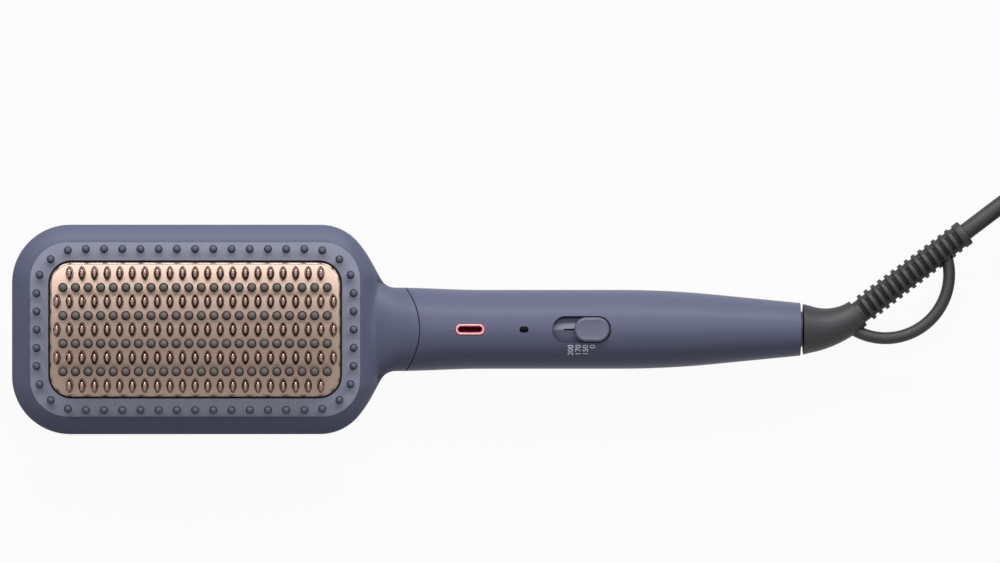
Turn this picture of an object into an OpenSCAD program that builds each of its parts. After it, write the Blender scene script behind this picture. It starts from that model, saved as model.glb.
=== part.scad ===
// Heated straightening brush with a swivel cord, millimetres.
// +X runs along the handle to the cord, +Y across the head, +Z out of the pins.
// The origin is the middle of the head's flat back face, on which the brush lies.

/* [Head] */
// Length of the head along the handle
head_l = 135.2; // [130:0.2:150]
// Width of the head
head_w = 77.4; // [75:0.2:88]
// Thickness of the head from the back face to the pin frame
head_t = 25; // [24:0.5:30]
// Radius of the head's two far corners in plan
head_corner_r = 21.5; // [18:0.5:24]
// Radius of the shoulder where the head turns in to the neck
shoulder_r = 18.5; // [16:0.5:20]
// Radius of the nearly straight flank that follows the shoulder
flank_r = 45; // [35:1:60]
// Radius of the hollow between flank and neck
neck_fillet_r = 6; // [4:0.5:8]
// How far the bezel falls from the pin frame to the head's edge
bevel_drop = 4.6; // [3:0.2:5.5]
// How far the back's rounding reaches in from the head's edge
back_round = 15; // [12:0.5:18]
// Wall of the shells
wall = 2; // [1.6:0.1:2.3]

/* [Handle] */
// Length of the handle from the head's end to the tail
handle_l = 156.2; // [150:1:180]
// Diameter of the grip
grip_d = 29.2; // [28:0.2:32]
// Diameter of the handle at its tail
tail_d = 19.54; // [19.2:0.1:22]
// Length of the straight grip from the head's end
grip_l = 89.4; // [80:1:95]
// Length over which the taper sets in
taper_ease = 35; // [25:1:40]
// How much wider than the grip the neck is on each side
neck_flare = 0.85; // [0.4:0.05:1.4]
// Distance of the seam's tip from the head's end
seam_reach = 15.1; // [13:0.5:18]
// Radius of the curved seam between head shell and handle shell
seam_r = 26.4; // [22:0.5:32]
// Width of the seam
seam_gap = 0.2; // [0.1:0.05:0.4]

/* [Hot plate and pins] */
// Length of the heating plate
plate_l = 107.1; // [104:0.5:112]
// Width of the heating plate
plate_w = 49.7; // [49:0.1:52]
// Corner radius of the heating plate
plate_corner_r = 8; // [6:0.5:10]
// Thickness of the heating plate at its edge
plate_t = 4; // [3.5:0.1:5]
// How much higher the plate's middle is than its edge
plate_crown = 1.2; // [0.6:0.1:2]
// How far the plate's edge stands above the pin frame
plate_proud = 0.5; // [0.2:0.1:1]
// Gap between the plate and the pin frame
plate_gap = 0.5; // [0.3:0.05:0.8]
// Width of the pin frame round the plate
frame_band = 7.35; // [7:0.05:8.5]
// Corner radius of the pin frame
frame_corner_r = 14; // [12:0.5:16]
// Thickness of the pin frame
frame_t = 2; // [1.6:0.1:2.4]
// Distance between columns of fins and pins
column_pitch = 4.63; // [4.4:0.01:5.4]
// Distance between rows of fins
row_pitch = 10.35; // [10:0.05:10.4]
// Length of a fin across the head
fin_l = 5.66; // [5:0.02:5.9]
// Thickness of a fin at its foot
fin_w = 2.95; // [2.4:0.05:3.1]
// Height of the fins above the plate's edge
fin_h = 10; // [8:0.5:12]
// Lean of a fin's sides
fin_lean = 6; // [3:0.5:7]
// Diameter of a cool pin's ball tip
cool_ball_d = 3.54; // [3:0.02:3.7]
// Diameter of a cool pin's stem
cool_stem_d = 2.2; // [1.8:0.1:2.5]
// Height of the cool pins above the pin frame
cool_pin_h = 12; // [10:0.5:14]
// Diameter of a ring pin's ball tip
ring_ball_d = 3.07; // [2.8:0.01:3.4]
// Diameter of a ring pin's stem
ring_stem_d = 1.9; // [1.6:0.1:2.2]
// Height of the ring pins above the pin frame
ring_pin_h = 10; // [8:0.5:12]
// Distance between ring pins along the straight rows
ring_pitch = 6.7; // [6:0.05:8]
// Distance of the ring pins from the pin frame's edge
ring_inset = 2.55; // [2.3:0.05:3]
// Radius of the ring of pins at its corners
ring_corner_r = 15.2; // [13:0.1:16]
// Clearance between a pin's stem and its hole
pin_clear = 0.3; // [0.2:0.05:0.4]

/* [Controls] */
// Distance of the ion outlet from the head's end
outlet_at = 33.7; // [32:0.5:38]
// Length of the outlet's coloured rim
outlet_l = 10.7; // [9:0.1:12]
// Width of the outlet's coloured rim
outlet_w = 4; // [3.6:0.1:4.6]
// Width of the rim's wall
outlet_rim = 0.8; // [0.6:0.05:1]
// Distance of the indicator from the head's end
lamp_at = 53.6; // [52:0.5:56]
// Length of the indicator lens
lamp_l = 3.1; // [2.6:0.1:3.6]
// Width of the indicator lens
lamp_w = 2.1; // [1.8:0.1:2.4]
// Distance of the switch recess's middle from the head's end
switch_at = 74.9; // [73:0.5:78]
// Length of the switch recess
recess_l = 21.8; // [21.6:0.1:24]
// Width of the switch recess
recess_w = 9.9; // [9.7:0.1:11]
// Depth of the recess below the top of the grip
recess_depth = 2.2; // [2:0.1:2.6]
// Length of the slide button
button_l = 13; // [11:0.1:13.1]
// Width of the slide button
button_w = 9; // [8:0.1:9.2]
// Height of the slide button above its floor
button_h = 2.9; // [2.4:0.1:3.6]
// Distance between two switch positions
switch_step = 2.7; // [2.4:0.05:2.75]
// Number of heat settings beyond off
switch_steps = 3; // [2:1:3]

/* [Swivel and boot] */
// Diameter of the swivel neck
neck_d = 13.1; // [11:0.1:13.2]
// Radial running clearance of the swivel
swivel_clear = 0.05; // [0.03:0.01:0.1]
// Length of the swivel bush
bush_l = 10; // [8:0.5:12]
// Gap between the handle's tail and the boot
boot_gap = 0.7; // [0.5:0.1:1]
// Diameter of the boot's foot
boot_d = 19.1; // [17:0.1:20]
// Diameter of the boot where the ribbed sleeve starts
boot_neck_d = 11.1; // [10.4:0.1:12]
// Bend of the boot
boot_angle = 37.1; // [30:0.5:45]
// Radius of the boot's bend
boot_bend_r = 29.2; // [27:0.2:33]
// Straight length before the bend
boot_foot_l = 3.2; // [2:0.1:5]
// Number of ribs on the sleeve
rib_count = 14; // [10:1:15]
// Distance between ribs
rib_pitch = 3.1; // [2.8:0.05:3.3]
// Width of a rib
rib_w = 1.6; // [1.2:0.05:1.8]
// Diameter of the first rib
rib_d = 10.8; // [10.2:0.1:11.4]
// Diameter of the sleeve's end collar
collar_d = 9.9; // [9.4:0.1:10.4]
// Length of the end collar
collar_l = 3; // [2:0.2:4]
// Diameter of the sleeve between the ribs
sleeve_d = 8.6; // [8:0.1:9]
// Radius of the hang loop's middle line
loop_r = 23.6; // [22:0.2:24]
// Thickness of the hang loop
loop_d = 4.5; // [3.6:0.1:5]

/* [Cord and plug] */
// Diameter of the cord
cord_d = 6.4; // [6:0.1:6.45]
// Width of the cord tie
tie_w = 10; // [8:0.5:12]
// Thickness of the cord tie
tie_t = 0.8; // [0.5:0.1:0.8]
// Length of the plug body without its strain relief
plug_l = 34; // [32:0.5:36]
// Width of the plug body
plug_w = 26; // [24:0.5:27]
// Thickness of the plug body
plug_t = 13.6; // [12:0.2:13.6]
// Length of the plug's strain relief
plug_relief_l = 20; // [16:1:24]

/* [Hidden] */
$fn = 48;

// Places along the handle
head_x = head_l / 2;
head_y = head_w / 2;
grip_r = grip_d / 2;
tail_r = tail_d / 2;
tail_x = head_x + handle_l;
taper_x = head_x + grip_l;
taper_slope = (grip_r - tail_r) / (taper_ease / 2 + tail_x - taper_x - taper_ease);
handle_lift = 0.2; // the grip hangs this far above the plane of the head's back
axis_z = handle_lift + grip_r;
front_h = head_t - axis_z;
outlet_x = head_x + outlet_at;
lamp_x = head_x + lamp_at;
switch_x = head_x + switch_at;
seam_x = head_x + seam_reach - seam_r;
grip_top = axis_z + grip_r;
past = 1; // how far a cutting shape runs past the face that it cuts
cut_top = head_t + grip_d;

// Pin frame, plate and the stack that carries them
frame_l = plate_l + 2 * frame_band;
frame_w = plate_w + 2 * frame_band;
bevel_w = (head_w - frame_w) / 2;
plate_edge_z = head_t + plate_proud;
plate_bottom = plate_edge_z - plate_t;
tray_top = plate_bottom;
tray_flange_t = 1.5;
seat_t = head_t - frame_t - tray_top;
tray_wall = 1.6;
tray_floor = 1.6;
tray_depth = 11.5;
tray_bottom = tray_top - tray_depth;
seat_inset = 0.9;
seat_l = frame_l - 2 * seat_inset;
seat_w = frame_w - 2 * seat_inset;
seat_corner_r = frame_corner_r - seat_inset;
hole_l = plate_l + 2 * plate_gap;
hole_w = plate_w + 2 * plate_gap;
hole_r = plate_corner_r + plate_gap;
fit = 0.2; // clearance round a piece that drops into an opening

// Outline of head and neck: arcs for corner, shoulder, flank and hollow
corner_x = head_x - head_corner_r;
shoulder_turn = 50;
flank_turn = 61.5;
shoulder_y = head_y - shoulder_r;
flank_cx = corner_x + (shoulder_r - flank_r) * sin(shoulder_turn);
flank_cy = shoulder_y + (shoulder_r - flank_r) * cos(shoulder_turn);
neck_r = grip_r + neck_flare;
hollow_cy = neck_r + neck_fillet_r;
flank_end_x = flank_cx + flank_r * sin(flank_turn);
flank_end_y = flank_cy + flank_r * cos(flank_turn);
hollow_start_y = hollow_cy - neck_fillet_r * cos(flank_turn);
hollow_cx = flank_end_x + (flank_end_y - hollow_start_y) / tan(flank_turn) + neck_fillet_r * sin(flank_turn);
neck_fade = 32;

function ease(t) = let(u = min(max(t, 0), 1)) u * u * (3 - 2 * u);
function mix(a, b, t) = a + (b - a) * t;
function blend_max(a, b, k) = let(h = max(k - abs(a - b), 0) / k) max(a, b) + h * h * k / 4;

// Radius of the handle at x
function handle_r(x) =
    x < taper_x ? grip_r
    : x < taper_x + taper_ease ? grip_r - taper_slope * pow(x - taper_x, 2) / (2 * taper_ease)
    : grip_r - taper_slope * (x - taper_x - taper_ease / 2);

// Half width of the outline at x, drawn in by t
function half_width(x, t) =
    x < -corner_x ? head_y - head_corner_r + sqrt(max(0, pow(head_corner_r - t, 2) - pow(x + corner_x, 2)))
    : x < corner_x ? head_y - t
    : x < corner_x + (shoulder_r - t) * sin(shoulder_turn)
        ? shoulder_y + sqrt(pow(shoulder_r - t, 2) - pow(x - corner_x, 2))
    : x < flank_cx + (flank_r - t) * sin(flank_turn)
        ? flank_cy + sqrt(pow(flank_r - t, 2) - pow(x - flank_cx, 2))
    : x < hollow_cx - (neck_fillet_r + t) * sin(flank_turn)
        ? flank_cy + (flank_r - t) * cos(flank_turn)
            - (x - flank_cx - (flank_r - t) * sin(flank_turn)) * tan(flank_turn)
    : x < hollow_cx ? hollow_cy - sqrt(pow(neck_fillet_r + t, 2) - pow(x - hollow_cx, 2))
    : handle_r(x) + neck_flare * (1 - ease((x - hollow_cx) / neck_fade)) - t;

// How far a point lies inside the head's outline drawn in by t
function corner_depth(x, y, t) =
    let(r = head_corner_r - t, qx = abs(x) - corner_x, qy = abs(y) - (head_y - head_corner_r))
    r - norm([max(qx, 0), max(qy, 0)]) - min(max(qx, qy), 0);
function inset_depth(x, y, t) =
    x < 0 ? max(0, corner_depth(x, y, t))
    : let(slope = (half_width(x + 0.1, t) - half_width(x - 0.1, t)) / 0.2)
      max(0, min(corner_depth(x, y, t), (half_width(x, t) - abs(y)) / sqrt(1 + slope * slope)));

// Height of the front and depth of the back from the parting plane
edge_front = front_h - bevel_drop;
edge_back = 3;
neck_lead = 11.6; // the neck starts to rise this far before the head's end
neck_start = head_x - neck_lead;
neck_rise = 34;
neck_root_h = 6;
neck_spread = 0.35;
neck_blend = 3;
fade_lead = 12; // the head's edges fade into the neck from here on
fade_l = 20;
back_lead = 40; // the back's neck sets in this far before the head's end
function edge_fade(x) = 1 - ease((x - head_x + fade_lead) / fade_l);
function neck_width(x, t) =
    x < hollow_cx ? neck_r - t + (hollow_cx - x) * neck_spread : half_width(x, t);
function round_part(y, w) = sqrt(max(0, 1 - pow(y / w, 2)));
function front_height(x, y, t) =
    let(u = min(inset_depth(x, y, t) / bevel_w, 1), edge = edge_front * edge_fade(x))
    let(head_part = edge + (front_h - t - edge) * (1 - pow(1 - u, 2)) * (x < head_x ? 1 : edge_fade(x)))
    let(neck_h = mix(neck_root_h, handle_r(x), ease((x - neck_start) / neck_rise)) - t)
    blend_max(head_part, x < neck_start - fade_l ? 0 : neck_h * round_part(y, neck_width(x, t)), neck_blend);
function back_height(x, y, t) =
    let(u = min(inset_depth(x, y, t) / back_round, 1), edge = edge_back * edge_fade(x))
    let(head_part = edge + (axis_z - t - edge) * sqrt(1 - pow(1 - u, 2)) * (x < head_x ? 1 : edge_fade(x)))
    let(neck_h = (handle_r(x) - t) * ease((x - head_x + back_lead) / fade_l))
    min(axis_z - t, blend_max(head_part, neck_h * round_part(y, neck_width(x, t)), neck_blend));

// Shells: rings across the handle at a row of stations, outer skin and inner skin in one mesh
ring_steps = 26;
corner_steps = 8;
flat_steps = 4;
shoulder_steps = 6;
flank_steps = 3;
hollow_steps = 4;
neck_steps = 6;
seam_steps = 3;
tail_steps = 6;
grip_step = 26;
function edge_power(x) = mix(0.5, 1, ease((x - neck_start) / neck_rise));
function inner_shift(x, t) = x < -corner_x ? t * (-corner_x - x) / head_corner_r : 0;
function skin_point(x, k, t, up) =
    let(xi = x + inner_shift(x, t), turn = cos(180 * k / ring_steps))
    let(y = half_width(xi, t) * sign(turn) * pow(abs(turn), edge_power(x)))
    let(h = k == 0 || k == ring_steps ? 0 : up ? front_height(xi, y, t) : -back_height(xi, y, t))
    [xi, y, axis_z + h];
corner_stations = [for (i = [0:corner_steps]) -corner_x - head_corner_r * cos(90 * i / corner_steps)];
flat_stations = [for (i = [1:flat_steps]) mix(-corner_x, corner_x, i / flat_steps)];
shoulder_stations = [for (i = [1:shoulder_steps])
    corner_x + shoulder_r * sin(shoulder_turn * i / shoulder_steps)];
flank_stations = [for (i = [1:flank_steps])
    flank_cx + flank_r * sin(mix(shoulder_turn, flank_turn, i / flank_steps))];
hollow_stations = [for (i = [0:hollow_steps])
    hollow_cx - neck_fillet_r * sin(flank_turn * (1 - i / hollow_steps))];
neck_stations = [for (i = [1:neck_steps]) mix(hollow_cx, hollow_cx + neck_fade, i / neck_steps)];
grip_stations = [taper_x - grip_step, taper_x];
tail_stations = [for (i = [1:tail_steps]) mix(taper_x, tail_x, i / tail_steps)];
head_stations = concat(corner_stations, flat_stations, shoulder_stations, flank_stations, hollow_stations);
handle_stations = concat(neck_stations, grip_stations, tail_stations);

function flip(faces, on) = on ? [for (f = faces) [f[2], f[1], f[0]]] : faces;

module shell_mesh(stations, up, closed_end) {
    m = len(stations);
    n = ring_steps + 1;
    points = [for (t = [0, wall], x = stations, k = [0:ring_steps]) skin_point(x, k, t, up)];
    inner = m * n;
    last = (m - 1) * n;
    skins = [for (i = [0:m - 2], k = [0:ring_steps - 1]) let(a = i * n + k, b = a + n) each [
        [a, b, b + 1], [a, b + 1, a + 1],
        [inner + a, inner + b + 1, inner + b], [inner + a, inner + a + 1, inner + b + 1]]];
    rims = [for (i = [0:m - 2]) let(a = i * n, b = a + n, c = a + ring_steps, d = c + n) each [
        [inner + a, inner + b, b], [inner + a, b, a],
        [c, d, inner + d], [c, inner + d, inner + c]]];
    tail_end = [for (k = [0:ring_steps - 1]) let(a = last + k) each [
        [a + 1, a, inner + a], [a + 1, inner + a, inner + a + 1]]];
    open_end = [for (k = [0:ring_steps - 1]) each [
        [inner + k, k, k + 1], [inner + k + 1, inner + k, k + 1]]];
    shut_end = concat(
        [for (k = [1:ring_steps - 1]) each [[0, k, k + 1], [inner, inner + k + 1, inner + k]]],
        [[0, ring_steps, inner + ring_steps], [0, inner + ring_steps, inner]]);
    faces = concat(skins, rims, tail_end, closed_end ? shut_end : open_end);
    polyhedron(points, flip(faces, !up), convexity = 8);
}

// Plan shapes
module round_rect(l, w, r) {
    square([l - 2 * r, w], center = true);
    square([l, w - 2 * r], center = true);
    for (sx = [-1, 1], sy = [-1, 1]) translate([sx * (l / 2 - r), sy * (w / 2 - r)]) circle(r);
}
module stadium(l, w) {
    square([l - w, w], center = true);
    for (sx = [-1, 1]) translate([sx * (l - w) / 2, 0]) circle(w / 2);
}
module slab(z0, z1) {
    translate([0, 0, z0]) linear_extrude(z1 - z0) children();
}
module block(x0, x1, y0, y1, z0, z1) {
    translate([x0, y0, z0]) cube([x1 - x0, y1 - y0, z1 - z0]);
}
module side_block(side, x0, x1, y0, y1, z0, z1) {
    block(x0, x1, side > 0 ? y0 : -y1, side > 0 ? y1 : -y0, z0, z1);
}
module rod_z(x, y, z0, z1, r) {
    translate([x, y, z0]) cylinder(r = r, h = z1 - z0);
}
module rod_x(x0, x1, y, z, r) {
    translate([x0, y, z]) rotate([0, 90, 0]) cylinder(r = r, h = x1 - x0);
}

// A tube of constant radius along a list of points
function side_of(v) = let(s = cross([0, 0, 1], v)) s / norm(s);
function way(p, i) = let(a = p[max(i - 1, 0)], b = p[min(i + 1, len(p) - 1)]) (b - a) / norm(b - a);
module tube(p, radii, sides, turn = 0) {
    m = len(p);
    points = [for (i = [0:m - 1]) let(v = way(p, i), s = side_of(v), u = cross(v, s))
        for (k = [0:sides - 1]) let(a = turn + 360 * k / sides) p[i] + radii[i] * (cos(a) * s + sin(a) * u)];
    walls = [for (i = [0:m - 2], k = [0:sides - 1])
        let(a = i * sides + k, b = i * sides + (k + 1) % sides)
        each [[a, b, b + sides], [a, b + sides, a + sides]]];
    start = [for (k = [1:sides - 2]) [0, k + 1, k]];
    finish = [for (k = [1:sides - 2]) let(e = (m - 1) * sides) [e, e + k, e + k + 1]];
    polyhedron(points, flip(concat(walls, start, finish), true), convexity = 6);
}
function same(r, p) = [for (i = p) r];

// Colours, as the photograph shows them
shell_color = [0.33, 0.34, 0.44];
panel_color = [0.42, 0.43, 0.51];
pin_color = [0.22, 0.22, 0.27];
gold_color = [0.86, 0.70, 0.60];
dark_color = [0.20, 0.20, 0.21];
steel_color = [0.70, 0.71, 0.73];
brass_color = [0.78, 0.62, 0.30];

// Bosses, posts and hooks of the shells
boss_r = 3.2;
boss_inset = 6;
boss_x = plate_l / 2 - boss_inset;
boss_y = plate_w / 2 - boss_inset - 0.4;
boss_spots = [for (sx = [-1, 1], sy = [-1, 1]) [sx * boss_x, sy * boss_y]];
pilot_r = 1.25;
thread_r = 1.2;
board_t = 1.6;
board_top = axis_z - handle_lift;
board_bottom = board_top - board_t;
board_w = 17;
post_r = 2.4;
post_inset = 9;
post_spots = [outlet_x + 11.7, switch_x + 17.5, tail_x - 37.8];
board_start = post_spots[0] - post_inset;
board_end = post_spots[2] + 10;
pilot_l = 6;
hook_l = 8;
hook_root_h = 2;
hook_root_z = axis_z + 0.4;
hook_sink = 0.5;
head_hook = [1.2, 0.6, 4]; // thickness, gap to the wall and reach below the parting plane
grip_hook = [0.8, 0.4, 3];
hook_spots = [-30, 30];
grip_hook_spots = [outlet_x - 9, taper_x - 4];

module hook(x, side, wall_y, sizes) {
    y = wall_y - sizes[1] - sizes[0];
    side_block(side, x - hook_l / 2, x + hook_l / 2, y, wall_y + hook_sink,
        hook_root_z, hook_root_z + hook_root_h);
    side_block(side, x - hook_l / 2, x + hook_l / 2, y, y + sizes[0],
        axis_z - sizes[2], hook_root_z + hook_root_h / 2);
}

module back_shell() {
    color(shell_color) difference() {
        union() {
            shell_mesh(concat(head_stations, handle_stations), false, true);
            for (s = boss_spots) rod_z(s.x, s.y, wall / 2, tray_bottom, boss_r);
            for (x = post_spots) rod_z(x, 0, axis_z - grip_r + wall / 2, board_bottom, post_r);
        }
        for (s = boss_spots) rod_z(s.x, s.y, wall + 1, tray_bottom + past, pilot_r);
        for (x = post_spots) rod_z(x, 0, board_bottom - pilot_l, board_bottom + past, pilot_r);
    }
}

module head_front_shell() {
    color(shell_color) {
        difference() {
            intersection() {
                shell_mesh(concat(head_stations, [for (i = [0:seam_steps]) neck_stations[i]]), true, true);
                union() {
                    rod_z(seam_x, 0, 0, cut_top, seam_r - seam_gap / 2);
                    block(-head_x - past, hollow_cx - 2, -head_y - past, head_y + past, 0, cut_top);
                }
            }
            slab(axis_z + past, cut_top) round_rect(frame_l + fit * 2, frame_w + fit * 2, frame_corner_r + fit);
        }
        for (x = hook_spots, side = [-1, 1]) hook(x, side, head_y - wall, head_hook);
    }
}

module handle_front_shell() {
    color(shell_color) {
        difference() {
            shell_mesh(concat([hollow_cx], handle_stations), true, false);
            rod_z(seam_x, 0, 0, cut_top, seam_r + seam_gap / 2);
            window(outlet_x) stadium(outlet_l + fit, outlet_w + fit);
            window(lamp_x) stadium(lamp_l + fit, lamp_w + fit);
            window(switch_x) stadium(recess_l, recess_w);
        }
        for (x = grip_hook_spots, side = [-1, 1]) hook(x, side, grip_r - wall, grip_hook);
    }
}
module window(x) {
    translate([x, 0, 0]) slab(axis_z + grip_r / 2, grip_top + past) children();
}

// Places of the ring pins: straight rows and columns, and three round each corner
ring_x = frame_l / 2 - ring_inset;
ring_y = frame_w / 2 - ring_inset;
ring_cx = ring_x - ring_corner_r;
ring_cy = ring_y - ring_corner_r;
corner_turns = [22, 49, 76];
row_half = floor(ring_cx / ring_pitch);
column_half = floor(ring_cy / ring_pitch);
ring_spots = concat(
    [for (i = [-row_half:row_half], sy = [-1, 1]) [i * ring_pitch, sy * ring_y]],
    [for (i = [-column_half:column_half], sx = [-1, 1]) [sx * ring_x, i * ring_pitch]],
    [for (a = corner_turns, sx = [-1, 1], sy = [-1, 1])
        [sx * (ring_cx + ring_corner_r * cos(a)), sy * (ring_cy + ring_corner_r * sin(a))]]);

// Places of fins and cool pins: fins in rows, pins between them
fin_margin = [2.5, 4]; // least distance of a fin's middle from the plate's end and side
fin_half = floor((plate_l / 2 - fin_margin.x) / column_pitch);
fin_row_half = floor((plate_w / 2 - fin_margin.y) / row_pitch);
fin_spots = [for (j = [-fin_row_half:fin_row_half])
    let(last = abs(j) == fin_row_half ? fin_half - 1 : fin_half)
    each [for (i = [-last:last]) [i * column_pitch, j * row_pitch]]];
strip_rows = [for (j = [-fin_row_half:fin_row_half - 1]) (j + 0.5) * row_pitch];
cool_columns = [for (i = [-fin_half:fin_half - 1]) (i + 0.5) * column_pitch];

module pin_frame() {
    color(panel_color) slab(head_t - frame_t, head_t) difference() {
        round_rect(frame_l, frame_w, frame_corner_r);
        round_rect(hole_l, hole_w, hole_r);
        for (s = ring_spots) translate(s) circle(ring_stem_d / 2 + pin_clear);
    }
}

module ball_pin(x, y, z0, top, stem_d, ball_d) {
    rod_z(x, y, z0, top - ball_d / 2, stem_d / 2);
    translate([x, y, top - ball_d / 2]) sphere(ball_d / 2);
}

module ring_pins() {
    color(pin_color) union() {
        slab(tray_top, tray_top + seat_t) difference() {
            round_rect(seat_l, seat_w, seat_corner_r);
            round_rect(hole_l, hole_w, hole_r);
        }
        for (s = ring_spots)
            ball_pin(s.x, s.y, tray_top + seat_t / 2, head_t + ring_pin_h, ring_stem_d, ring_ball_d);
    }
}

crown_r = (pow(plate_w / 2, 2) + pow(plate_crown, 2)) / (2 * plate_crown);
crown_z = plate_edge_z + plate_crown - crown_r;
fin_arc_r = (pow(fin_l / 2, 2) + pow(fin_w / 2, 2)) / fin_w;
clamp_spots = [-boss_x * 0.75, 0, boss_x * 0.75];
clamp_post_r = 2.4;
heater_t = 3;
heater_w = 5;
clamp_top = plate_bottom - heater_t;
clamp_t = 0.8;
fin_foot = 1; // the fins stand this deep in the crowned plate
crown_sides = 720;

module fin_side(side) {
    rotate([0, side * fin_lean, 0]) translate([side * (fin_arc_r - fin_w / 2), 0, -2 * fin_foot])
        cylinder(r = fin_arc_r, h = fin_h + 6 * fin_foot);
}
module fin(x, y) {
    translate([x, y, plate_edge_z]) intersection() {
        fin_side(-1);
        fin_side(1);
        block(-fin_l, fin_l, -fin_l, fin_l, -fin_foot, fin_h);
    }
}

module heating_plate() {
    plate_top = plate_edge_z + plate_crown + past;
    color(gold_color) difference() {
        union() {
            intersection() {
                slab(plate_bottom, plate_top) round_rect(plate_l, plate_w, plate_corner_r);
                rod_x(-plate_l, plate_l, 0, crown_z, crown_r, $fn = crown_sides);
            }
            for (s = fin_spots) fin(s.x, s.y);
            for (x = clamp_spots) rod_z(x, 0, clamp_top, plate_bottom + past, clamp_post_r);
        }
        for (y = strip_rows, x = cool_columns)
            rod_z(x, y, plate_bottom - past, plate_top, cool_stem_d / 2 + pin_clear);
        for (x = clamp_spots) rod_z(x, 0, clamp_top - past, plate_bottom, pilot_r);
    }
}

strip_w = 4;
strip_t = 1.8;
strip_half = cool_stem_d - cool_columns[0];
module cool_pin_strips() {
    color(dark_color) for (y = strip_rows) union() {
        block(-strip_half, strip_half, y - strip_w / 2, y + strip_w / 2, plate_bottom - strip_t, plate_bottom);
        for (x = cool_columns)
            ball_pin(x, y, plate_bottom - strip_t / 2, head_t + cool_pin_h, cool_stem_d, cool_ball_d);
    }
}

// Inside the head
screw_head_h = 1.4;
module screw(x, y, seat_z, shaft_l, head_r, up) {
    half = screw_head_h / 2;
    rod_z(x, y, up ? seat_z - shaft_l : seat_z - half, up ? seat_z + half : seat_z + shaft_l, thread_r);
    rod_z(x, y, up ? seat_z : seat_z - screw_head_h, up ? seat_z + screw_head_h : seat_z, head_r);
}
lead_r = 0.9;
notch_half = boss_y - 5;
screw_clear = 0.3;
carrier_screw_l = 7;
carrier_head_r = 2.6;
module inner_carrier() {
    color([0.12, 0.12, 0.13]) difference() {
        union() {
            slab(tray_bottom, tray_top) round_rect(plate_l, plate_w, plate_corner_r);
            slab(tray_top - tray_flange_t, tray_top) round_rect(seat_l, seat_w, seat_corner_r);
        }
        slab(tray_bottom + tray_floor, tray_top + past)
            round_rect(plate_l - 2 * tray_wall, plate_w - 2 * tray_wall, plate_corner_r - tray_wall);
        block(plate_l / 2 - 2 * tray_wall, plate_l / 2 + past, -notch_half, notch_half,
            tray_bottom + tray_floor + 1, tray_top - tray_flange_t - 1);
        for (s = boss_spots)
            rod_z(s.x, s.y, tray_bottom - past, tray_bottom + tray_floor + past, thread_r + screw_clear);
    }
}
module carrier_screws() {
    color(steel_color) for (s = boss_spots)
        screw(s.x, s.y, tray_bottom + tray_floor, carrier_screw_l, carrier_head_r, true);
}
heater_half = plate_l / 2 - 8.5;
module heater_elements() {
    color([0.85, 0.55, 0.25]) for (y = [-row_pitch, row_pitch])
        block(-heater_half, heater_half, y - heater_w / 2, y + heater_w / 2, clamp_top, plate_bottom);
}
module heater_clamp() {
    color(steel_color) slab(clamp_top - clamp_t, clamp_top) difference() {
        square([2 * heater_half, 2 * row_pitch + heater_w + 1], center = true);
        for (x = clamp_spots) translate([x, 0]) circle(thread_r + screw_clear);
    }
}
module clamp_screws() {
    color(steel_color) for (x = clamp_spots)
        screw(x, 0, clamp_top - clamp_t, clamp_t + heater_t - screw_clear, clamp_post_r, false);
}
shield_t = 0.6;
shield_inset = 2;
module heat_shield() {
    color([0.75, 0.70, 0.55]) slab(tray_bottom + tray_floor, tray_bottom + tray_floor + shield_t)
        square([2 * (boss_x - boss_r - shield_inset), plate_w - 2 * (tray_wall + shield_inset)], center = true);
}
sensor_l = 5;
sensor_w = 3;
sensor_t = 2.4;
module temperature_sensor() {
    color([0.1, 0.1, 0.1]) block(heater_half + 1, heater_half + 1 + sensor_l, -sensor_w / 2, sensor_w / 2,
        plate_bottom - sensor_t, plate_bottom);
}
fuse_l = 12;
fuse_r = 2;
fuse_wire_r = 0.4;
fuse_y = strip_rows[len(strip_rows) - 1] + strip_w / 2 + fuse_r + 0.9;
fuse_z = plate_bottom - fuse_r - fit;
module thermal_fuse() {
    color([0.8, 0.78, 0.7]) union() {
        rod_x(-fuse_l / 2, fuse_l / 2, fuse_y, fuse_z, fuse_r);
        rod_x(-fuse_l, fuse_l, fuse_y, fuse_z, fuse_wire_r);
    }
}
terminal_x = board_start + 1;
lead_z = board_top + 2.5;
heater_z = plate_bottom - heater_t / 2;
module heater_lead(side) {
    p = [[heater_half, side * row_pitch, heater_z], [heater_half + 2, side * row_pitch, heater_z],
        [heater_half + 5, side * 9.6, heater_z - 1.7], [plate_l / 2, side * 8, lead_z - 1],
        [head_x - 4, side * 6, lead_z - 1], [hollow_cx, side * 5, lead_z - 0.6],
        [terminal_x - 12, side * 4, lead_z], [terminal_x, side * 4, lead_z]];
    tube(p, same(lead_r, p), 8);
}
module heater_leads() {
    color([0.75, 0.2, 0.15]) for (side = [-1, 1]) heater_lead(side);
}

// Inside the handle: the bay between the last two posts holds the largest devices
bay_gap = 1.6;
bay_start = post_spots[1] + post_r + bay_gap;
bay_l = post_spots[2] - post_spots[1] - 2 * (post_r + bay_gap);
device_gap = 2;
device_l = (bay_l - device_gap) / 2;
terminal_l = 4;
terminal_h = 5;
terminal_half = 6.5;
outgoing_x = post_spots[2] + 4.2;
outgoing_l = 2.8;
device_rows = [-8, -3, 3]; // sides of the upright device and middle of the round one
upright_h = 8;
round_h = 9;
chip_half = 4;
chip_h = 1.4;
socket_gap = 1.7; // from the lamp's foot to its socket
socket_l = 3;
socket_half = 6;
socket_h = 2.4;
module circuit_board() {
    color([0.10, 0.38, 0.20]) difference() {
        block(board_start, board_end, -board_w / 2, board_w / 2, board_bottom, board_top);
        for (x = post_spots) rod_z(x, 0, board_bottom - past, board_top + past, thread_r + screw_clear);
    }
}
module device(x, l, y0, y1, h) {
    block(x, x + l, y0, y1, board_top, board_top + h);
}
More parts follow.
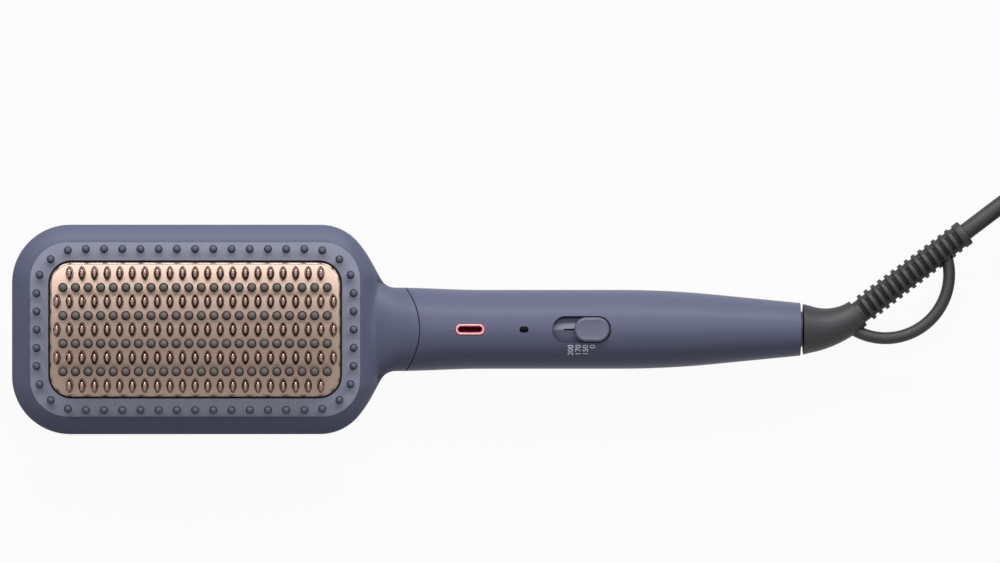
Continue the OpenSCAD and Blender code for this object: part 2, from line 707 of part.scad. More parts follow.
module board_components() {
    color([0.15, 0.15, 0.16]) {
        device(terminal_x, terminal_l, -terminal_half, terminal_half, terminal_h);
        device(outgoing_x, outgoing_l, -terminal_half, terminal_half, terminal_h);
        device(bay_start, device_l, device_rows[0], device_rows[1], upright_h);
        rod_z(bay_start + device_l / 2, device_rows[2], board_top, board_top + round_h, device_l / 2);
        device(bay_start + device_l + device_gap, device_l, -chip_half, chip_half, chip_h);
        device(lamp_x + lamp_body_r + socket_gap, socket_l, -socket_half, socket_half, socket_h);
    }
}
board_screw_l = board_t + 5;
board_head_r = 2;
module board_screws() {
    color(steel_color) for (x = post_spots) screw(x, 0, board_top, board_screw_l, board_head_r, true);
}
generator_h = 7;
generator_w = 12;
module ion_generator() {
    color([0.16, 0.17, 0.2]) block(bay_start, bay_start + bay_l, -generator_w / 2, generator_w / 2,
        board_bottom - generator_h, board_bottom);
}
flange = 1.2; // width of the flanges that hold bezel and lens under the shell
flange_t = 1;
flange_gap = 0.4;
function under_shell(y) = axis_z + sqrt(pow(grip_r - wall, 2) - pow(y, 2)) - flange_gap;
outlet_flange_z = under_shell(outlet_w / 2 + flange);
bezel_proud = 0.2;
module ion_outlet_bezel() {
    color([0.96, 0.58, 0.60]) translate([outlet_x, 0, 0]) difference() {
        union() {
            slab(outlet_flange_z - flange_t / 2, grip_top + bezel_proud) stadium(outlet_l, outlet_w);
            slab(outlet_flange_z - flange_t, outlet_flange_z)
                stadium(outlet_l + 2 * flange, outlet_w + 2 * flange);
        }
        slab(outlet_flange_z - flange_t - past, grip_top + past)
            stadium(outlet_l - 2 * outlet_rim, outlet_w - 2 * outlet_rim);
    }
}
emitter_t = 3;
emitter_half = 2.6;
needle_r = 0.4;
needle_h = 2.6;
module ion_emitter() {
    top = outlet_flange_z - flange_t;
    color([0.35, 0.04, 0.05]) translate([outlet_x, 0, 0]) union() {
        block(-outlet_l / 2, outlet_l / 2, -emitter_half, emitter_half, top - emitter_t, top);
        for (x = [-1, 1]) rod_z(x * outlet_l / 5, 0, top - 1, top + needle_h, needle_r);
    }
}
lens_flange_z = under_shell(lamp_w / 2 + flange);
lamp_body_r = 1.5;
lamp_body_h = 4.8;
lens_gap = 0.3;
lamp_top = board_top + lamp_body_h + lamp_body_r;
module indicator_lens() {
    color([0.05, 0.05, 0.06]) translate([lamp_x, 0, 0]) union() {
        slab(lamp_top + lens_gap, grip_top + fit / 4) stadium(lamp_l, lamp_w);
        slab(lens_flange_z - flange_t, lens_flange_z) stadium(lamp_l + 2 * flange, lamp_w + 2 * flange);
    }
}
module indicator_lamp() {
    color([0.9, 0.9, 0.85]) union() {
        rod_z(lamp_x, 0, board_top, board_top + 1, lamp_body_r + 0.4);
        rod_z(lamp_x, 0, board_top + 0.5, board_top + lamp_body_h, lamp_body_r);
        translate([lamp_x, 0, board_top + lamp_body_h]) sphere(lamp_body_r);
    }
}

// Slide switch: rest is off, at the right end of its travel
travel = switch_step * switch_steps;
floor_z = grip_top - recess_depth;
well_flange = 2;
well_half = 6.5;
well_top = under_shell(well_half);
well_t = 1.3;
well_bottom = well_top - well_t;
button_gap = 0.15;
recess_end_gap = 0.6;
button_x = switch_x + (recess_l - button_l) / 2 - recess_end_gap;
stem_l = 4;
stem_w = 1.4;
slot_gap = 0.25;
module switch_well() {
    color(shell_color) translate([switch_x, 0, 0]) difference() {
        union() {
            slab(well_bottom, well_top) stadium(recess_l + 2 * well_flange, 2 * well_half);
            slab(well_bottom, floor_z) stadium(recess_l - fit, recess_w - fit);
        }
        block(button_x - switch_x - travel - stem_l / 2 - slot_gap, button_x - switch_x + stem_l / 2 + slot_gap,
            -stem_w / 2 - slot_gap, stem_w / 2 + slot_gap, well_bottom - past, floor_z + past);
    }
}
carriage_gap = 0.3;
carriage_top = well_bottom - carriage_gap;
carriage_t = 2.3;
carriage_half = [6, 4];
carriage_bottom = carriage_top - carriage_t;
button_chamfer = 0.7;
module stadium_solid(l, w, z0, h) {
    hull() for (sx = [-1, 1]) translate([sx * (l - w) / 2, 0, z0]) cylinder(d = w, h = h, $fn = 32);
}
module slide_button() {
    foot_z = floor_z + button_gap;
    color(shell_color) translate([button_x, 0, 0]) union() {
        stadium_solid(button_l, button_w, foot_z, button_h - button_chamfer);
        stadium_solid(button_l - 2 * button_chamfer, button_w - 2 * button_chamfer,
            foot_z + button_chamfer, button_h - button_chamfer);
        block(-stem_l / 2, stem_l / 2, -stem_w / 2, stem_w / 2, carriage_top, foot_z + button_chamfer);
    }
}
module switch_carriage() {
    color([0.9, 0.9, 0.88]) block(button_x - carriage_half.x, button_x + carriage_half.x,
        -carriage_half.y, carriage_half.y, carriage_bottom, carriage_top);
}
switch_h = 5.6;
switch_half = 3.5;
switch_body_top = board_top + switch_h;
switch_end = 5;
lever_half = 1;
lever_gap = 0.4;
lever_slot_depth = 2;
module switch_lever() {
    color([0.1, 0.1, 0.1]) block(button_x - lever_half, button_x + lever_half, -lever_half, lever_half,
        switch_body_top - lever_slot_depth + lever_gap, carriage_bottom);
}
module slide_switch() {
    slot = lever_half + lever_gap;
    color([0.6, 0.6, 0.62]) difference() {
        block(button_x - travel - switch_end, button_x + switch_end, -switch_half, switch_half,
            board_top, switch_body_top);
        block(button_x - travel - slot, button_x + slot, -slot, slot,
            switch_body_top - lever_slot_depth, switch_body_top + past);
    }
}
spring_half = recess_l / 2;
spring_t = 0.3;
spring_tab = [1.5, 1.2];
module detent_spring() {
    y = carriage_half.y + spring_t + fit;
    bottom = carriage_bottom + carriage_gap;
    color(steel_color) {
        block(switch_x - spring_half, switch_x + spring_half, y, y + spring_t, bottom, carriage_top - fit);
        for (x = [-spring_half, spring_half - spring_tab.x]) translate([switch_x + x, 0, 0])
            block(0, spring_tab.x, y, y + spring_tab.y, bottom, well_bottom);
    }
}

// Swivel: the rotor runs in the bush and turns on the handle's axis
neck_rad = neck_d / 2;
bush_start = tail_x - bush_l;
bush_gap = 0.3;
bush_outer = tail_r - wall - bush_gap;
bush_flange_r = handle_r(bush_start) - wall - bush_gap - fit;
bush_flange_t = 1.4;
collar_t = 2.5;
collar_start = bush_start - bush_gap - collar_t;
wire_r = 2;
drum_r = 4.6;
ring_start = collar_start - 11;
slip_r = 5.2;
slip_w = 2.6;
slip_gap = 0.05;
slip_spots = [ring_start + 1.8, ring_start + 6.8];
module turned(profile) {
    translate([0, 0, axis_z]) rotate([0, 90, 0]) rotate_extrude() polygon(profile);
}
module swivel_bush() {
    bore_r = neck_rad + swivel_clear;
    color([0.85, 0.85, 0.82]) turned([[bore_r, bush_start], [bush_flange_r, bush_start],
        [bush_flange_r, bush_start + bush_flange_t], [bush_outer, bush_start + bush_flange_t],
        [bush_outer, tail_x], [bore_r, tail_x]]);
}
module swivel_rotor() {
    color(dark_color) turned([[wire_r, ring_start], [drum_r, ring_start], [drum_r, collar_start],
        [neck_rad + 1, collar_start], [neck_rad + 1, collar_start + collar_t],
        [neck_rad, collar_start + collar_t], [neck_rad, tail_x + boot_gap], [wire_r, tail_x + boot_gap]]);
}
module slip_rings() {
    bore_r = drum_r + slip_gap;
    color(brass_color) for (x = slip_spots)
        turned([[bore_r, x], [slip_r, x], [slip_r, x + slip_w], [bore_r, x + slip_w]]);
}
brush_gap = 0.3;
brush_z = axis_z + slip_r + brush_gap;
brush_t = 0.4;
brush_half = 5;
holder_half = 3.5;
holder_foot = 2;
holder_top = brush_z + brush_t + 1.7;
module contact_brushes() {
    color(brass_color) for (x = slip_spots)
        block(x, x + slip_w, -brush_half, brush_half, brush_z, brush_z + brush_t);
}
module brush_holder() {
    color([0.6, 0.3, 0.2]) union() {
        block(board_end - holder_foot, slip_spots[1] + slip_w + fit, -holder_half, holder_half,
            brush_z + brush_t, holder_top);
        block(board_end - holder_foot, board_end, -holder_half, holder_half, board_top, holder_top);
    }
}
mains_lead_r = 0.6;
module mains_lead(side) {
    outgoing_end = outgoing_x + outgoing_l;
    brush_x = slip_spots[0] + slip_w / 2;
    p = [[outgoing_end, side * 6, board_top + 3], [outgoing_end + 2, side * 6, board_top + 3],
        [board_end + 1, side * 6.4, board_top + 4], [brush_x - 0.9, side * 6.8, brush_z - 0.6],
        [brush_x, side * 6, brush_z + 0.2], [brush_x, side * brush_half, brush_z + 0.2]];
    tube(p, same(mains_lead_r, p), 8);
}
module mains_leads() {
    color([0.2, 0.35, 0.7]) for (side = [-1, 1]) mains_lead(side);
}

// Boot: a bent foot, a ribbed sleeve and a hang loop in one moulding
boot_x = tail_x + boot_gap;
bend_cx = boot_x + boot_foot_l;
sleeve_start = [bend_cx + boot_bend_r * sin(boot_angle), boot_bend_r * (1 - cos(boot_angle)), axis_z];
sleeve_way = [cos(boot_angle), sin(boot_angle), 0];
rib_start = 1.8;
rib_end_gap = 1.6;
rib_edge = 0.1; // each rib's flanks lean this much
sleeve_l = rib_start + rib_count * rib_pitch + collar_l + rib_end_gap;
cord_exit = sleeve_start + sleeve_l * sleeve_way;
foot_steps = 10;
foot_path_l = boot_foot_l + boot_bend_r * boot_angle * PI / 180;
function foot_point(i) = let(a = boot_angle * (i - 2) / (foot_steps - 2))
    i < 2 ? [boot_x + boot_foot_l * i / 2, 0, axis_z]
    : [bend_cx + boot_bend_r * sin(a), boot_bend_r * (1 - cos(a)), axis_z];
function foot_radius(i) =
    let(s = i < 2 ? boot_foot_l * i / 2 : mix(boot_foot_l, foot_path_l, (i - 2) / (foot_steps - 2)))
    mix(boot_neck_d, boot_d, pow(1 - s / foot_path_l, 1.5)) / 2;
module ribbed_sleeve() {
    hub_r = sleeve_d / 2;
    collar_z = sleeve_l - collar_l;
    translate(sleeve_start) rotate([0, 90, boot_angle]) rotate_extrude() polygon(concat(
        [[0, -past], [hub_r, -past]],
        [for (i = [0:rib_count - 1])
            let(z = rib_start + i * rib_pitch, r = mix(rib_d, collar_d + fit, i / (rib_count - 1)) / 2)
            each [[hub_r, z], [r, z + rib_edge], [r, z + rib_w], [hub_r, z + rib_w + rib_edge]]],
        [[hub_r, collar_z], [collar_d / 2, collar_z + rib_edge], [collar_d / 2, sleeve_l], [0, sleeve_l]]));
}
loop_reach = [10.2, 14.4]; // from the sleeve's start to the middle of the loop's arc
loop_centre = sleeve_start + [loop_reach.x, loop_reach.y, 0];
loop_from = -122;
loop_sweep = 139;
module hang_loop() {
    translate(loop_centre) rotate([0, 0, loop_from])
        rotate_extrude(angle = loop_sweep) translate([loop_r, 0]) circle(loop_d / 2);
}
module strain_relief_boot() {
    color(dark_color) union() {
        tube([for (i = [0:foot_steps]) foot_point(i)], [for (i = [0:foot_steps]) foot_radius(i)], 20);
        ribbed_sleeve();
        hang_loop();
    }
}

// Cord: a short lead to the coil, the coil, and a tail to the plug. Route points are chosen by hand.
coil_turns = 7;
coil_layers = 4;
coil_pitch = 6.9;
coil_inner_r = 31.2;
coil_x = 352;
coil_y = 21;
coil_sides = 6;
coil_steps = 24;
coil_floor = 0.85;
layer_turns = coil_turns / coil_layers;
coil_outer_r = coil_inner_r + layer_turns * coil_pitch;
coil_z = coil_floor + cord_d / 2;
coil_top = coil_z + (coil_layers - 1) * coil_pitch;
coil_entry_y = coil_y + coil_outer_r;
lead_points = [[302, 48.6, 13.7], [310, 53.8, 11.6], [318, 58, 8.8], [326, 61.2, 6.3], [334, 63.4, 4.7]];
tail_points = [[371.8, 62.9, 24], [384.2, 59.2, 20.5], [394.9, 53.2, 15.5], [403.1, 45.2, 10.8],
    [408.2, 36, 7.9]];
plug_x = 410;
plug_y = 20;
plug_z = plug_t / 2 + 0.05;
route_step = [5, 3, 6]; // straight stretch at the boot, at the coil and at the plug
lead_route = concat([cord_exit, cord_exit + route_step[0] * sleeve_way], lead_points,
    [[coil_x - cord_d - route_step[1], coil_entry_y, coil_z], [coil_x - cord_d, coil_entry_y, coil_z]]);
tail_route = concat(
    [[coil_x + cord_d, coil_entry_y, coil_top], [coil_x + cord_d + route_step[1], coil_entry_y, coil_top]],
    tail_points, [[plug_x, plug_y + route_step[2], plug_z], [plug_x, plug_y, plug_z]]);
climb_turns = 0.5; // share of a turn over which the cord climbs to the next layer
function sum(v, i = 0) = i < len(v) ? v[i] + sum(v, i + 1) : 0;
function climb(s) = coil_pitch * sum([for (b = [1:coil_layers - 1])
    ease((s - b * layer_turns) / climb_turns + 0.5)]);
function coil_radius(s) = let(layer = floor(s / layer_turns), drift = (s - layer * layer_turns) * coil_pitch)
    layer % 2 == 0 ? coil_outer_r - drift : coil_inner_r + drift;
function coil_point(s) = let(a = 90 - 360 * s)
    [coil_x + coil_radius(s) * cos(a), coil_y + coil_radius(s) * sin(a), coil_z + climb(s)];
coil_path = concat([[coil_x - cord_d, coil_entry_y, coil_z], [coil_x - cord_d / 2, coil_entry_y, coil_z]],
    [for (i = [0:coil_turns * coil_steps]) coil_point(i / coil_steps)],
    [[coil_x + cord_d / 2, coil_entry_y, coil_top], [coil_x + cord_d, coil_entry_y, coil_top]]);
coil_gap = min([for (i = [2:len(coil_path) - 3], j = [i + floor(coil_steps * 0.6):len(coil_path) - 3])
    norm(coil_path[i] - coil_path[j])]) - cord_d;
function path_length(p, i = 0) = i < len(p) - 1 ? norm(p[i + 1] - p[i]) + path_length(p, i + 1) : 0;
echo("least gap of the coil to itself", coil_gap);
echo("length of the cord", path_length(lead_route) + path_length(coil_path) + path_length(tail_route));

function spline(p, n) = [for (i = [0:len(p) - 2], k = [0:n - 1]) let(t = k / n,
    a = p[max(i - 1, 0)], b = p[i], c = p[i + 1], d = p[min(i + 2, len(p) - 1)])
    b + 0.5 * t * (c - a + t * (2 * a - 5 * b + 4 * c - d + t * (3 * (b - c) + d - a)))];
module free_cord(route) {
    p = concat(spline(route, 2), [route[len(route) - 1]]);
    color(dark_color) tube(p, same(cord_d / 2, p), 8, 22.5);
}
module power_cord() { free_cord(lead_route); }
module cord_tail() { free_cord(tail_route); }
module cord_coil() {
    color(dark_color) tube(coil_path, same(cord_d / 2, coil_path), coil_sides, 30);
}
tie_turn = 20;
tie_gap = 0.3;
module cord_tie() {
    reach = cord_d / 2 + tie_gap;
    near = coil_inner_r - reach;
    far = coil_outer_r + reach;
    top = coil_top + reach;
    color([0.1, 0.1, 0.1]) translate([coil_x, coil_y, 0]) rotate([0, 0, tie_turn]) difference() {
        block(near - tie_t, far + tie_t, -tie_w / 2, tie_w / 2, 0, top + tie_t);
        block(near, far, -tie_w, tie_w, tie_t, top);
    }
}

// Plug: a flat two-pin mains plug, standard pins
plug_pin_d = 4;
plug_pin_l = 19;
plug_sleeve_l = 10;
plug_sleeve_d = 3.5;
plug_sleeve_gap = 0.05;
plug_pin_gap = 18.6;
plug_core_d = 2.8;
plug_root = 6; // how deep the pins stand in the body
plug_front_y = plug_y - plug_relief_l - plug_l;
plug_straight = 0.45;
plug_neck = [cord_d * 2.2, cord_d * 1.9];
relief_r = [cord_d * 0.68, cord_d * 0.85];
slice_t = 0.5;
pin_spots = [plug_x - plug_pin_gap / 2, plug_x + plug_pin_gap / 2];
module rod_y(x, y0, y1, r) {
    translate([x, y1, plug_z]) rotate([90, 0, 0]) cylinder(r = r, h = y1 - y0);
}
module plug_slice(w, t, y) {
    for (sx = [-1, 1]) translate([plug_x + sx * (w - t) / 2, y, plug_z]) rotate([90, 0, 0])
        cylinder(d = t, h = slice_t, $fn = 32);
}
module plug_body() {
    color(dark_color) difference() {
        union() {
            hull() {
                plug_slice(plug_w, plug_t, plug_front_y + slice_t);
                plug_slice(plug_w, plug_t, plug_front_y + plug_l * plug_straight);
                plug_slice(plug_neck[0], plug_neck[1], plug_y - plug_relief_l);
            }
            translate([plug_x, plug_y, plug_z]) rotate([90, 0, 0])
                cylinder(r1 = relief_r[0], r2 = relief_r[1], h = plug_relief_l + past);
        }
        for (x = pin_spots)
            rod_y(x, plug_front_y - past, plug_front_y + plug_root, plug_sleeve_d / 2 + plug_sleeve_gap);
    }
}
module plug_pins() {
    color(steel_color) for (x = pin_spots) union() {
        rod_y(x, plug_front_y - plug_pin_l, plug_front_y - plug_sleeve_l, plug_pin_d / 2);
        rod_y(x, plug_front_y - plug_sleeve_l - past, plug_front_y + plug_root, plug_core_d / 2);
    }
}
module pin_sleeves() {
    color([0.15, 0.15, 0.15]) for (x = pin_spots) difference() {
        rod_y(x, plug_front_y - plug_sleeve_l, plug_front_y + plug_root, plug_sleeve_d / 2);
        rod_y(x, plug_front_y - plug_sleeve_l - past, plug_front_y + plug_root + past,
            plug_core_d / 2 + plug_sleeve_gap);
    }
}

back_shell();
head_front_shell();
handle_front_shell();
pin_frame();
ring_pins();
heating_plate();
cool_pin_strips();
inner_carrier();
carrier_screws();
heater_elements();
heater_clamp();
clamp_screws();
heat_shield();
temperature_sensor();
thermal_fuse();
heater_leads();
circuit_board();
board_components();
board_screws();
ion_generator();
ion_emitter();
ion_outlet_bezel();
indicator_lens();
indicator_lamp();
switch_well();
slide_button();
switch_carriage();
switch_lever();
slide_switch();
detent_spring();
swivel_bush();
swivel_rotor();
slip_rings();
contact_brushes();
brush_holder();
mains_leads();
strain_relief_boot();
power_cord();
cord_coil();
cord_tail();
cord_tie();
plug_body();
plug_pins();
pin_sleeves();
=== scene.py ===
"""A heated straightening brush with a swivel cord: its looks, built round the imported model.

The brush lies on its back with its pins up. X runs along the handle to the cord, Y across
the head and Z out of the pins. Sizes are in millimetres up to the last step, where a
finished mesh is brought to metres.
"""
import math

import bmesh
import bpy
from bpy.props import FloatProperty, FloatVectorProperty, IntProperty, PointerProperty
from mathutils import Matrix, Vector


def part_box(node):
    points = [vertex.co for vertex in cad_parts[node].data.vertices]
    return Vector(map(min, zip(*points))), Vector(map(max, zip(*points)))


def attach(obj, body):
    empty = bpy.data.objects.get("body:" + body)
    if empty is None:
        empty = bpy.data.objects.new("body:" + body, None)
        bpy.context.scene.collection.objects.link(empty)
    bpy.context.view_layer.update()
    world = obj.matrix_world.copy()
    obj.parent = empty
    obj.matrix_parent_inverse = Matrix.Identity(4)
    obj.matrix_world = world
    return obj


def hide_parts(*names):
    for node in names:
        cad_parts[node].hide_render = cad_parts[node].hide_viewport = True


bl_info = {
    "name": "Heated Straightening Brush",
    "version": (1, 0, 0),
    "blender": (4, 5, 0),
    "location": "View3D > Sidebar > Brush",
    "description": "Builds a heated straightening brush with a swivel cord",
    "category": "Add Mesh",
}

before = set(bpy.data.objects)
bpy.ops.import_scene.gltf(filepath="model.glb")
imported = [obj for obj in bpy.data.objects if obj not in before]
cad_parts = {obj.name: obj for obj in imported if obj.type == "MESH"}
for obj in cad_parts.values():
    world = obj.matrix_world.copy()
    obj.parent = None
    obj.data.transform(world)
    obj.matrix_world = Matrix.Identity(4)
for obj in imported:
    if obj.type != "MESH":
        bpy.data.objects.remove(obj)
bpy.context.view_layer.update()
MM = 0.001
TAU = 2 * math.pi


def node_box(name):
    """Lowest and highest corner of a CAD node, in millimetres."""
    low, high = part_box(name)
    return Vector(low) / MM, Vector(high) / MM


HEAD_LOW, HEAD_HIGH = node_box("back_shell")
PLATE_HIGH = node_box("heating_plate")[1]
FRAME_LOW, FRAME_HIGH = node_box("pin_frame")
BUTTON_LOW, BUTTON_HIGH = node_box("slide_button")

# Head and handle, as the CAD shells have them
HEAD_X = -HEAD_LOW.x
HEAD_Y = HEAD_HIGH.y
HEAD_T = FRAME_HIGH.z
TAIL_X = HEAD_HIGH.x
AXIS_Z = HEAD_HIGH.z
WALL = 2.0
CORNER_R = 21.5
FRAME_R = 14.0
SHOULDER_R = 18.5
FLANK_R = 45.0
HOLLOW_R = 6.0
SHOULDER_TURN = math.radians(50)
FLANK_TURN = math.radians(61.5)
GRIP_R = 14.6
TAIL_R = 9.77
TAIL_HOLE_R = 7.0
TAPER_X = HEAD_X + 89.4
TAPER_EASE = 35.0
NECK_FLARE = 0.85
NECK_FADE = 32.0
NECK_LEAD = 11.6
NECK_RISE = 34.0
NECK_ROOT_H = 6.0
NECK_SPREAD = 0.35
NECK_BLEND = 3.0
BEVEL_DROP = 4.6
BEVEL_SLANT, BEVEL_SOFT, BEVEL_ROUND = 0.45, 0.2, 0.35
EDGE_BACK = 3.0
BACK_ROUND = 15.0
FADE_LEAD = 12.0
FADE_L = 20.0
BACK_LEAD = 40.0
SEAM_X = 56.3
SEAM_R = 26.4
SEAM_END = 98.0
SEAM_GAP = 0.3

TAPER_SLOPE = (GRIP_R - TAIL_R) / (TAPER_EASE / 2 + TAIL_X - TAPER_X - TAPER_EASE)
FRONT_H = HEAD_T - AXIS_Z
EDGE_FRONT = FRONT_H - BEVEL_DROP
CORNER_X = HEAD_X - CORNER_R
SHOULDER_Y = HEAD_Y - SHOULDER_R
FLANK_CX = CORNER_X + (SHOULDER_R - FLANK_R) * math.sin(SHOULDER_TURN)
FLANK_CY = SHOULDER_Y + (SHOULDER_R - FLANK_R) * math.cos(SHOULDER_TURN)
FLANK_END = Vector((FLANK_CX + FLANK_R * math.sin(FLANK_TURN), FLANK_CY + FLANK_R * math.cos(FLANK_TURN)))
NECK_R = GRIP_R + NECK_FLARE
HOLLOW_CY = NECK_R + HOLLOW_R
HOLLOW_CX = (FLANK_END.x + HOLLOW_R * math.sin(FLANK_TURN)
             + (FLANK_END.y - HOLLOW_CY + HOLLOW_R * math.cos(FLANK_TURN)) / math.tan(FLANK_TURN))
NECK_START = HEAD_X - NECK_LEAD
BEVEL_W = HEAD_Y - FRAME_HIGH.y

# Controls along the handle
OUTLET_X, OUTLET_L, OUTLET_W = 101.3, 10.7, 4.0
LAMP_X, LAMP_L, LAMP_W = 121.2, 3.1, 2.1
SWITCH_X, RECESS_L, RECESS_W = 142.5, 21.8, 9.9
FIT = 0.2
GRIP_TOP = AXIS_Z + GRIP_R
FLOOR_Z = GRIP_TOP - 2.2


def ease(t):
    u = min(max(t, 0.0), 1.0)
    return u * u * (3 - 2 * u)


def mix(a, b, t):
    return a + (b - a) * t


def blend_max(a, b, k):
    h = max(k - abs(a - b), 0) / k
    return max(a, b) + h * h * k / 4


def handle_r(x):
    """Radius of the handle at x."""
    if x < TAPER_X:
        return GRIP_R
    if x < TAPER_X + TAPER_EASE:
        return GRIP_R - TAPER_SLOPE * (x - TAPER_X) ** 2 / (2 * TAPER_EASE)
    return GRIP_R - TAPER_SLOPE * (x - TAPER_X - TAPER_EASE / 2)


def half_width(x):
    """Half width of the outline at x: corner, shoulder, flank, hollow and neck."""
    if x < -CORNER_X:
        return HEAD_Y - CORNER_R + math.sqrt(max(0, CORNER_R ** 2 - (x + CORNER_X) ** 2))
    if x < CORNER_X:
        return HEAD_Y
    if x < CORNER_X + SHOULDER_R * math.sin(SHOULDER_TURN):
        return SHOULDER_Y + math.sqrt(SHOULDER_R ** 2 - (x - CORNER_X) ** 2)
    if x < FLANK_END.x:
        return FLANK_CY + math.sqrt(FLANK_R ** 2 - (x - FLANK_CX) ** 2)
    if x < HOLLOW_CX - HOLLOW_R * math.sin(FLANK_TURN):
        return FLANK_END.y - (x - FLANK_END.x) * math.tan(FLANK_TURN)
    if x < HOLLOW_CX:
        return HOLLOW_CY - math.sqrt(HOLLOW_R ** 2 - (x - HOLLOW_CX) ** 2)
    return handle_r(x) + NECK_FLARE * (1 - ease((x - HOLLOW_CX) / NECK_FADE))


def outline_slope(x, step=0.1):
    """How fast the half width grows along the brush."""
    return (half_width(x + step) - half_width(x - step)) / (2 * step)


def inset_depth(x, y):
    """How far a point lies inside the outline."""
    qx, qy = abs(x) - CORNER_X, abs(y) - (HEAD_Y - CORNER_R)
    corner = CORNER_R - math.hypot(max(qx, 0), max(qy, 0)) - min(max(qx, qy), 0)
    if x < 0:
        return max(0.0, corner)
    slope = outline_slope(x)
    return max(0.0, min(corner, (half_width(x) - abs(y)) / math.sqrt(1 + slope * slope)))


def edge_fade(x):
    return 1 - ease((x - HEAD_X + FADE_LEAD) / FADE_L)


def round_part(x, y):
    width = NECK_R + (HOLLOW_CX - x) * NECK_SPREAD if x < HOLLOW_CX else half_width(x)
    return math.sqrt(max(0.0, 1 - (y / width) ** 2))


def front_height(x, y):
    """Height of the front shell above the parting plane: a rounded bezel that runs into the neck."""
    u = min(inset_depth(x, y) / BEVEL_W, 1.0)
    edge = EDGE_FRONT * edge_fade(x)
    rise = BEVEL_SLANT * u + BEVEL_SOFT * (1 - (1 - u) ** 2) + BEVEL_ROUND * math.sqrt(1 - (1 - u) ** 2)
    head = edge + (FRONT_H - edge) * rise * (1 if x < HEAD_X else edge_fade(x))
    neck = mix(NECK_ROOT_H, handle_r(x), ease((x - NECK_START) / NECK_RISE))
    return blend_max(head, 0 if x < NECK_START - FADE_L else neck * round_part(x, y), NECK_BLEND)


def back_height(x, y):
    """Depth of the back shell below the parting plane."""
    u = min(inset_depth(x, y) / BACK_ROUND, 1.0)
    edge = EDGE_BACK * edge_fade(x)
    head = edge + (AXIS_Z - edge) * math.sqrt(1 - (1 - u) ** 2) * (1 if x < HEAD_X else edge_fade(x))
    neck = handle_r(x) * ease((x - HEAD_X + BACK_LEAD) / FADE_L)
    return min(AXIS_Z, blend_max(head, neck * round_part(x, y), NECK_BLEND))


def seam_at(y, gap):
    """Where the curved seam crosses y, on its head side (gap below 0) or its handle side."""
    return SEAM_X + math.sqrt((SEAM_R + gap) ** 2 - min(abs(y), SEAM_R - 1) ** 2)


# Meshes

def placed(name, data):
    """Puts an object with its data into the scene."""
    piece = bpy.data.objects.new(name, data)
    bpy.context.scene.collection.objects.link(piece)
    return piece


def mesh_in_metres(name, bm):
    """Ends a bmesh in millimetres as a mesh in metres."""
    bmesh.ops.scale(bm, vec=(MM, MM, MM), verts=bm.verts)
    mesh = bpy.data.meshes.new(name)
    bm.to_mesh(mesh)
    bm.free()
    return mesh


def shaded(mesh, degrees):
    """Shades a mesh smooth, with an edge kept sharp where it turns by more than the angle."""
    mesh.polygons.foreach_set("use_smooth", [True] * len(mesh.polygons))
    mesh.set_sharp_from_angle(angle=math.radians(degrees))


def finished(name, bm, material, body="root", smooth=35.0, replaces=(), skin_only=False):
    """Turns a bmesh into a piece with its finish, body, slot and CAD node. The faces of an open
    skin point outwards already."""
    if not skin_only:
        bmesh.ops.recalc_face_normals(bm, faces=bm.faces)
    mesh = mesh_in_metres(name, bm)
    shaded(mesh, smooth)
    mesh.materials.append(material)
    piece = placed(name, mesh)
    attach(piece, body)
    if replaces:
        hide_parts(*replaces)
    return piece


def swept(bm, segments, levels, place, turn=0.0, capped=(True, True), close=False):
    """Draws a circle through the levels: place gives each of its points on a level."""
    first = bmesh.ops.create_circle(bm, cap_ends=False, segments=segments, radius=1.0,
                                    matrix=Matrix.Rotation(turn, 4, "Z"))["verts"]
    edges = start = list({e for v in first for e in v.link_edges})
    spots = {v: v.co.copy() for v in first}
    for i, level in enumerate(levels):
        if i:
            made = bmesh.ops.extrude_edge_only(bm, edges=edges)["geom"]
            verts = [g for g in made if isinstance(g, bmesh.types.BMVert)]
            edges = [g for g in made if isinstance(g, bmesh.types.BMEdge) and set(g.verts) <= set(verts)]
            spots = {v: next(spots[e.other_vert(v)] for e in v.link_edges if e.other_vert(v) in spots)
                     for v in verts}
        for v, spot in spots.items():
            v.co = place(level, spot)
    if close:
        bmesh.ops.bridge_loops(bm, edges=start + edges)
    for end, wanted in ((start, capped[0]), (edges, capped[1])):
        if wanted and not close:
            bmesh.ops.contextual_create(bm, geom=end)
    return bm


def loft_rounds(bm, rings, centre, segments=12, close=False):
    """A body with a rounded-rectangle plan: each ring is half core length, half core width,
    corner radius and height. The ends are closed with a face, or joined where close is set."""
    def place(ring, spot):
        hx, hy, r, z = ring
        return Vector((centre[0] + math.copysign(hx, spot.x) + r * spot.x,
                       centre[1] + math.copysign(hy, spot.y) + r * spot.y, z))
    return swept(bm, segments * 4, rings, place, TAU / (segments * 8), close=close)


def plan(length, width, radius):
    """Half core sizes and corner radius of a rounded rectangle."""
    return length / 2 - radius, width / 2 - radius, radius


def planted(bm, part, spots=((0, 0),)):
    """Adds a copy of a part at each spot, and gives the part up."""
    mesh = bpy.data.meshes.new("part")
    part.to_mesh(mesh)
    part.free()
    for x, y in spots:
        bm.from_mesh(mesh)
        bm.verts.ensure_lookup_table()
        bmesh.ops.translate(bm, vec=(x, y, 0), verts=bm.verts[-len(mesh.vertices):])
    bpy.data.meshes.remove(mesh)


STEM_TAPER = 0.92


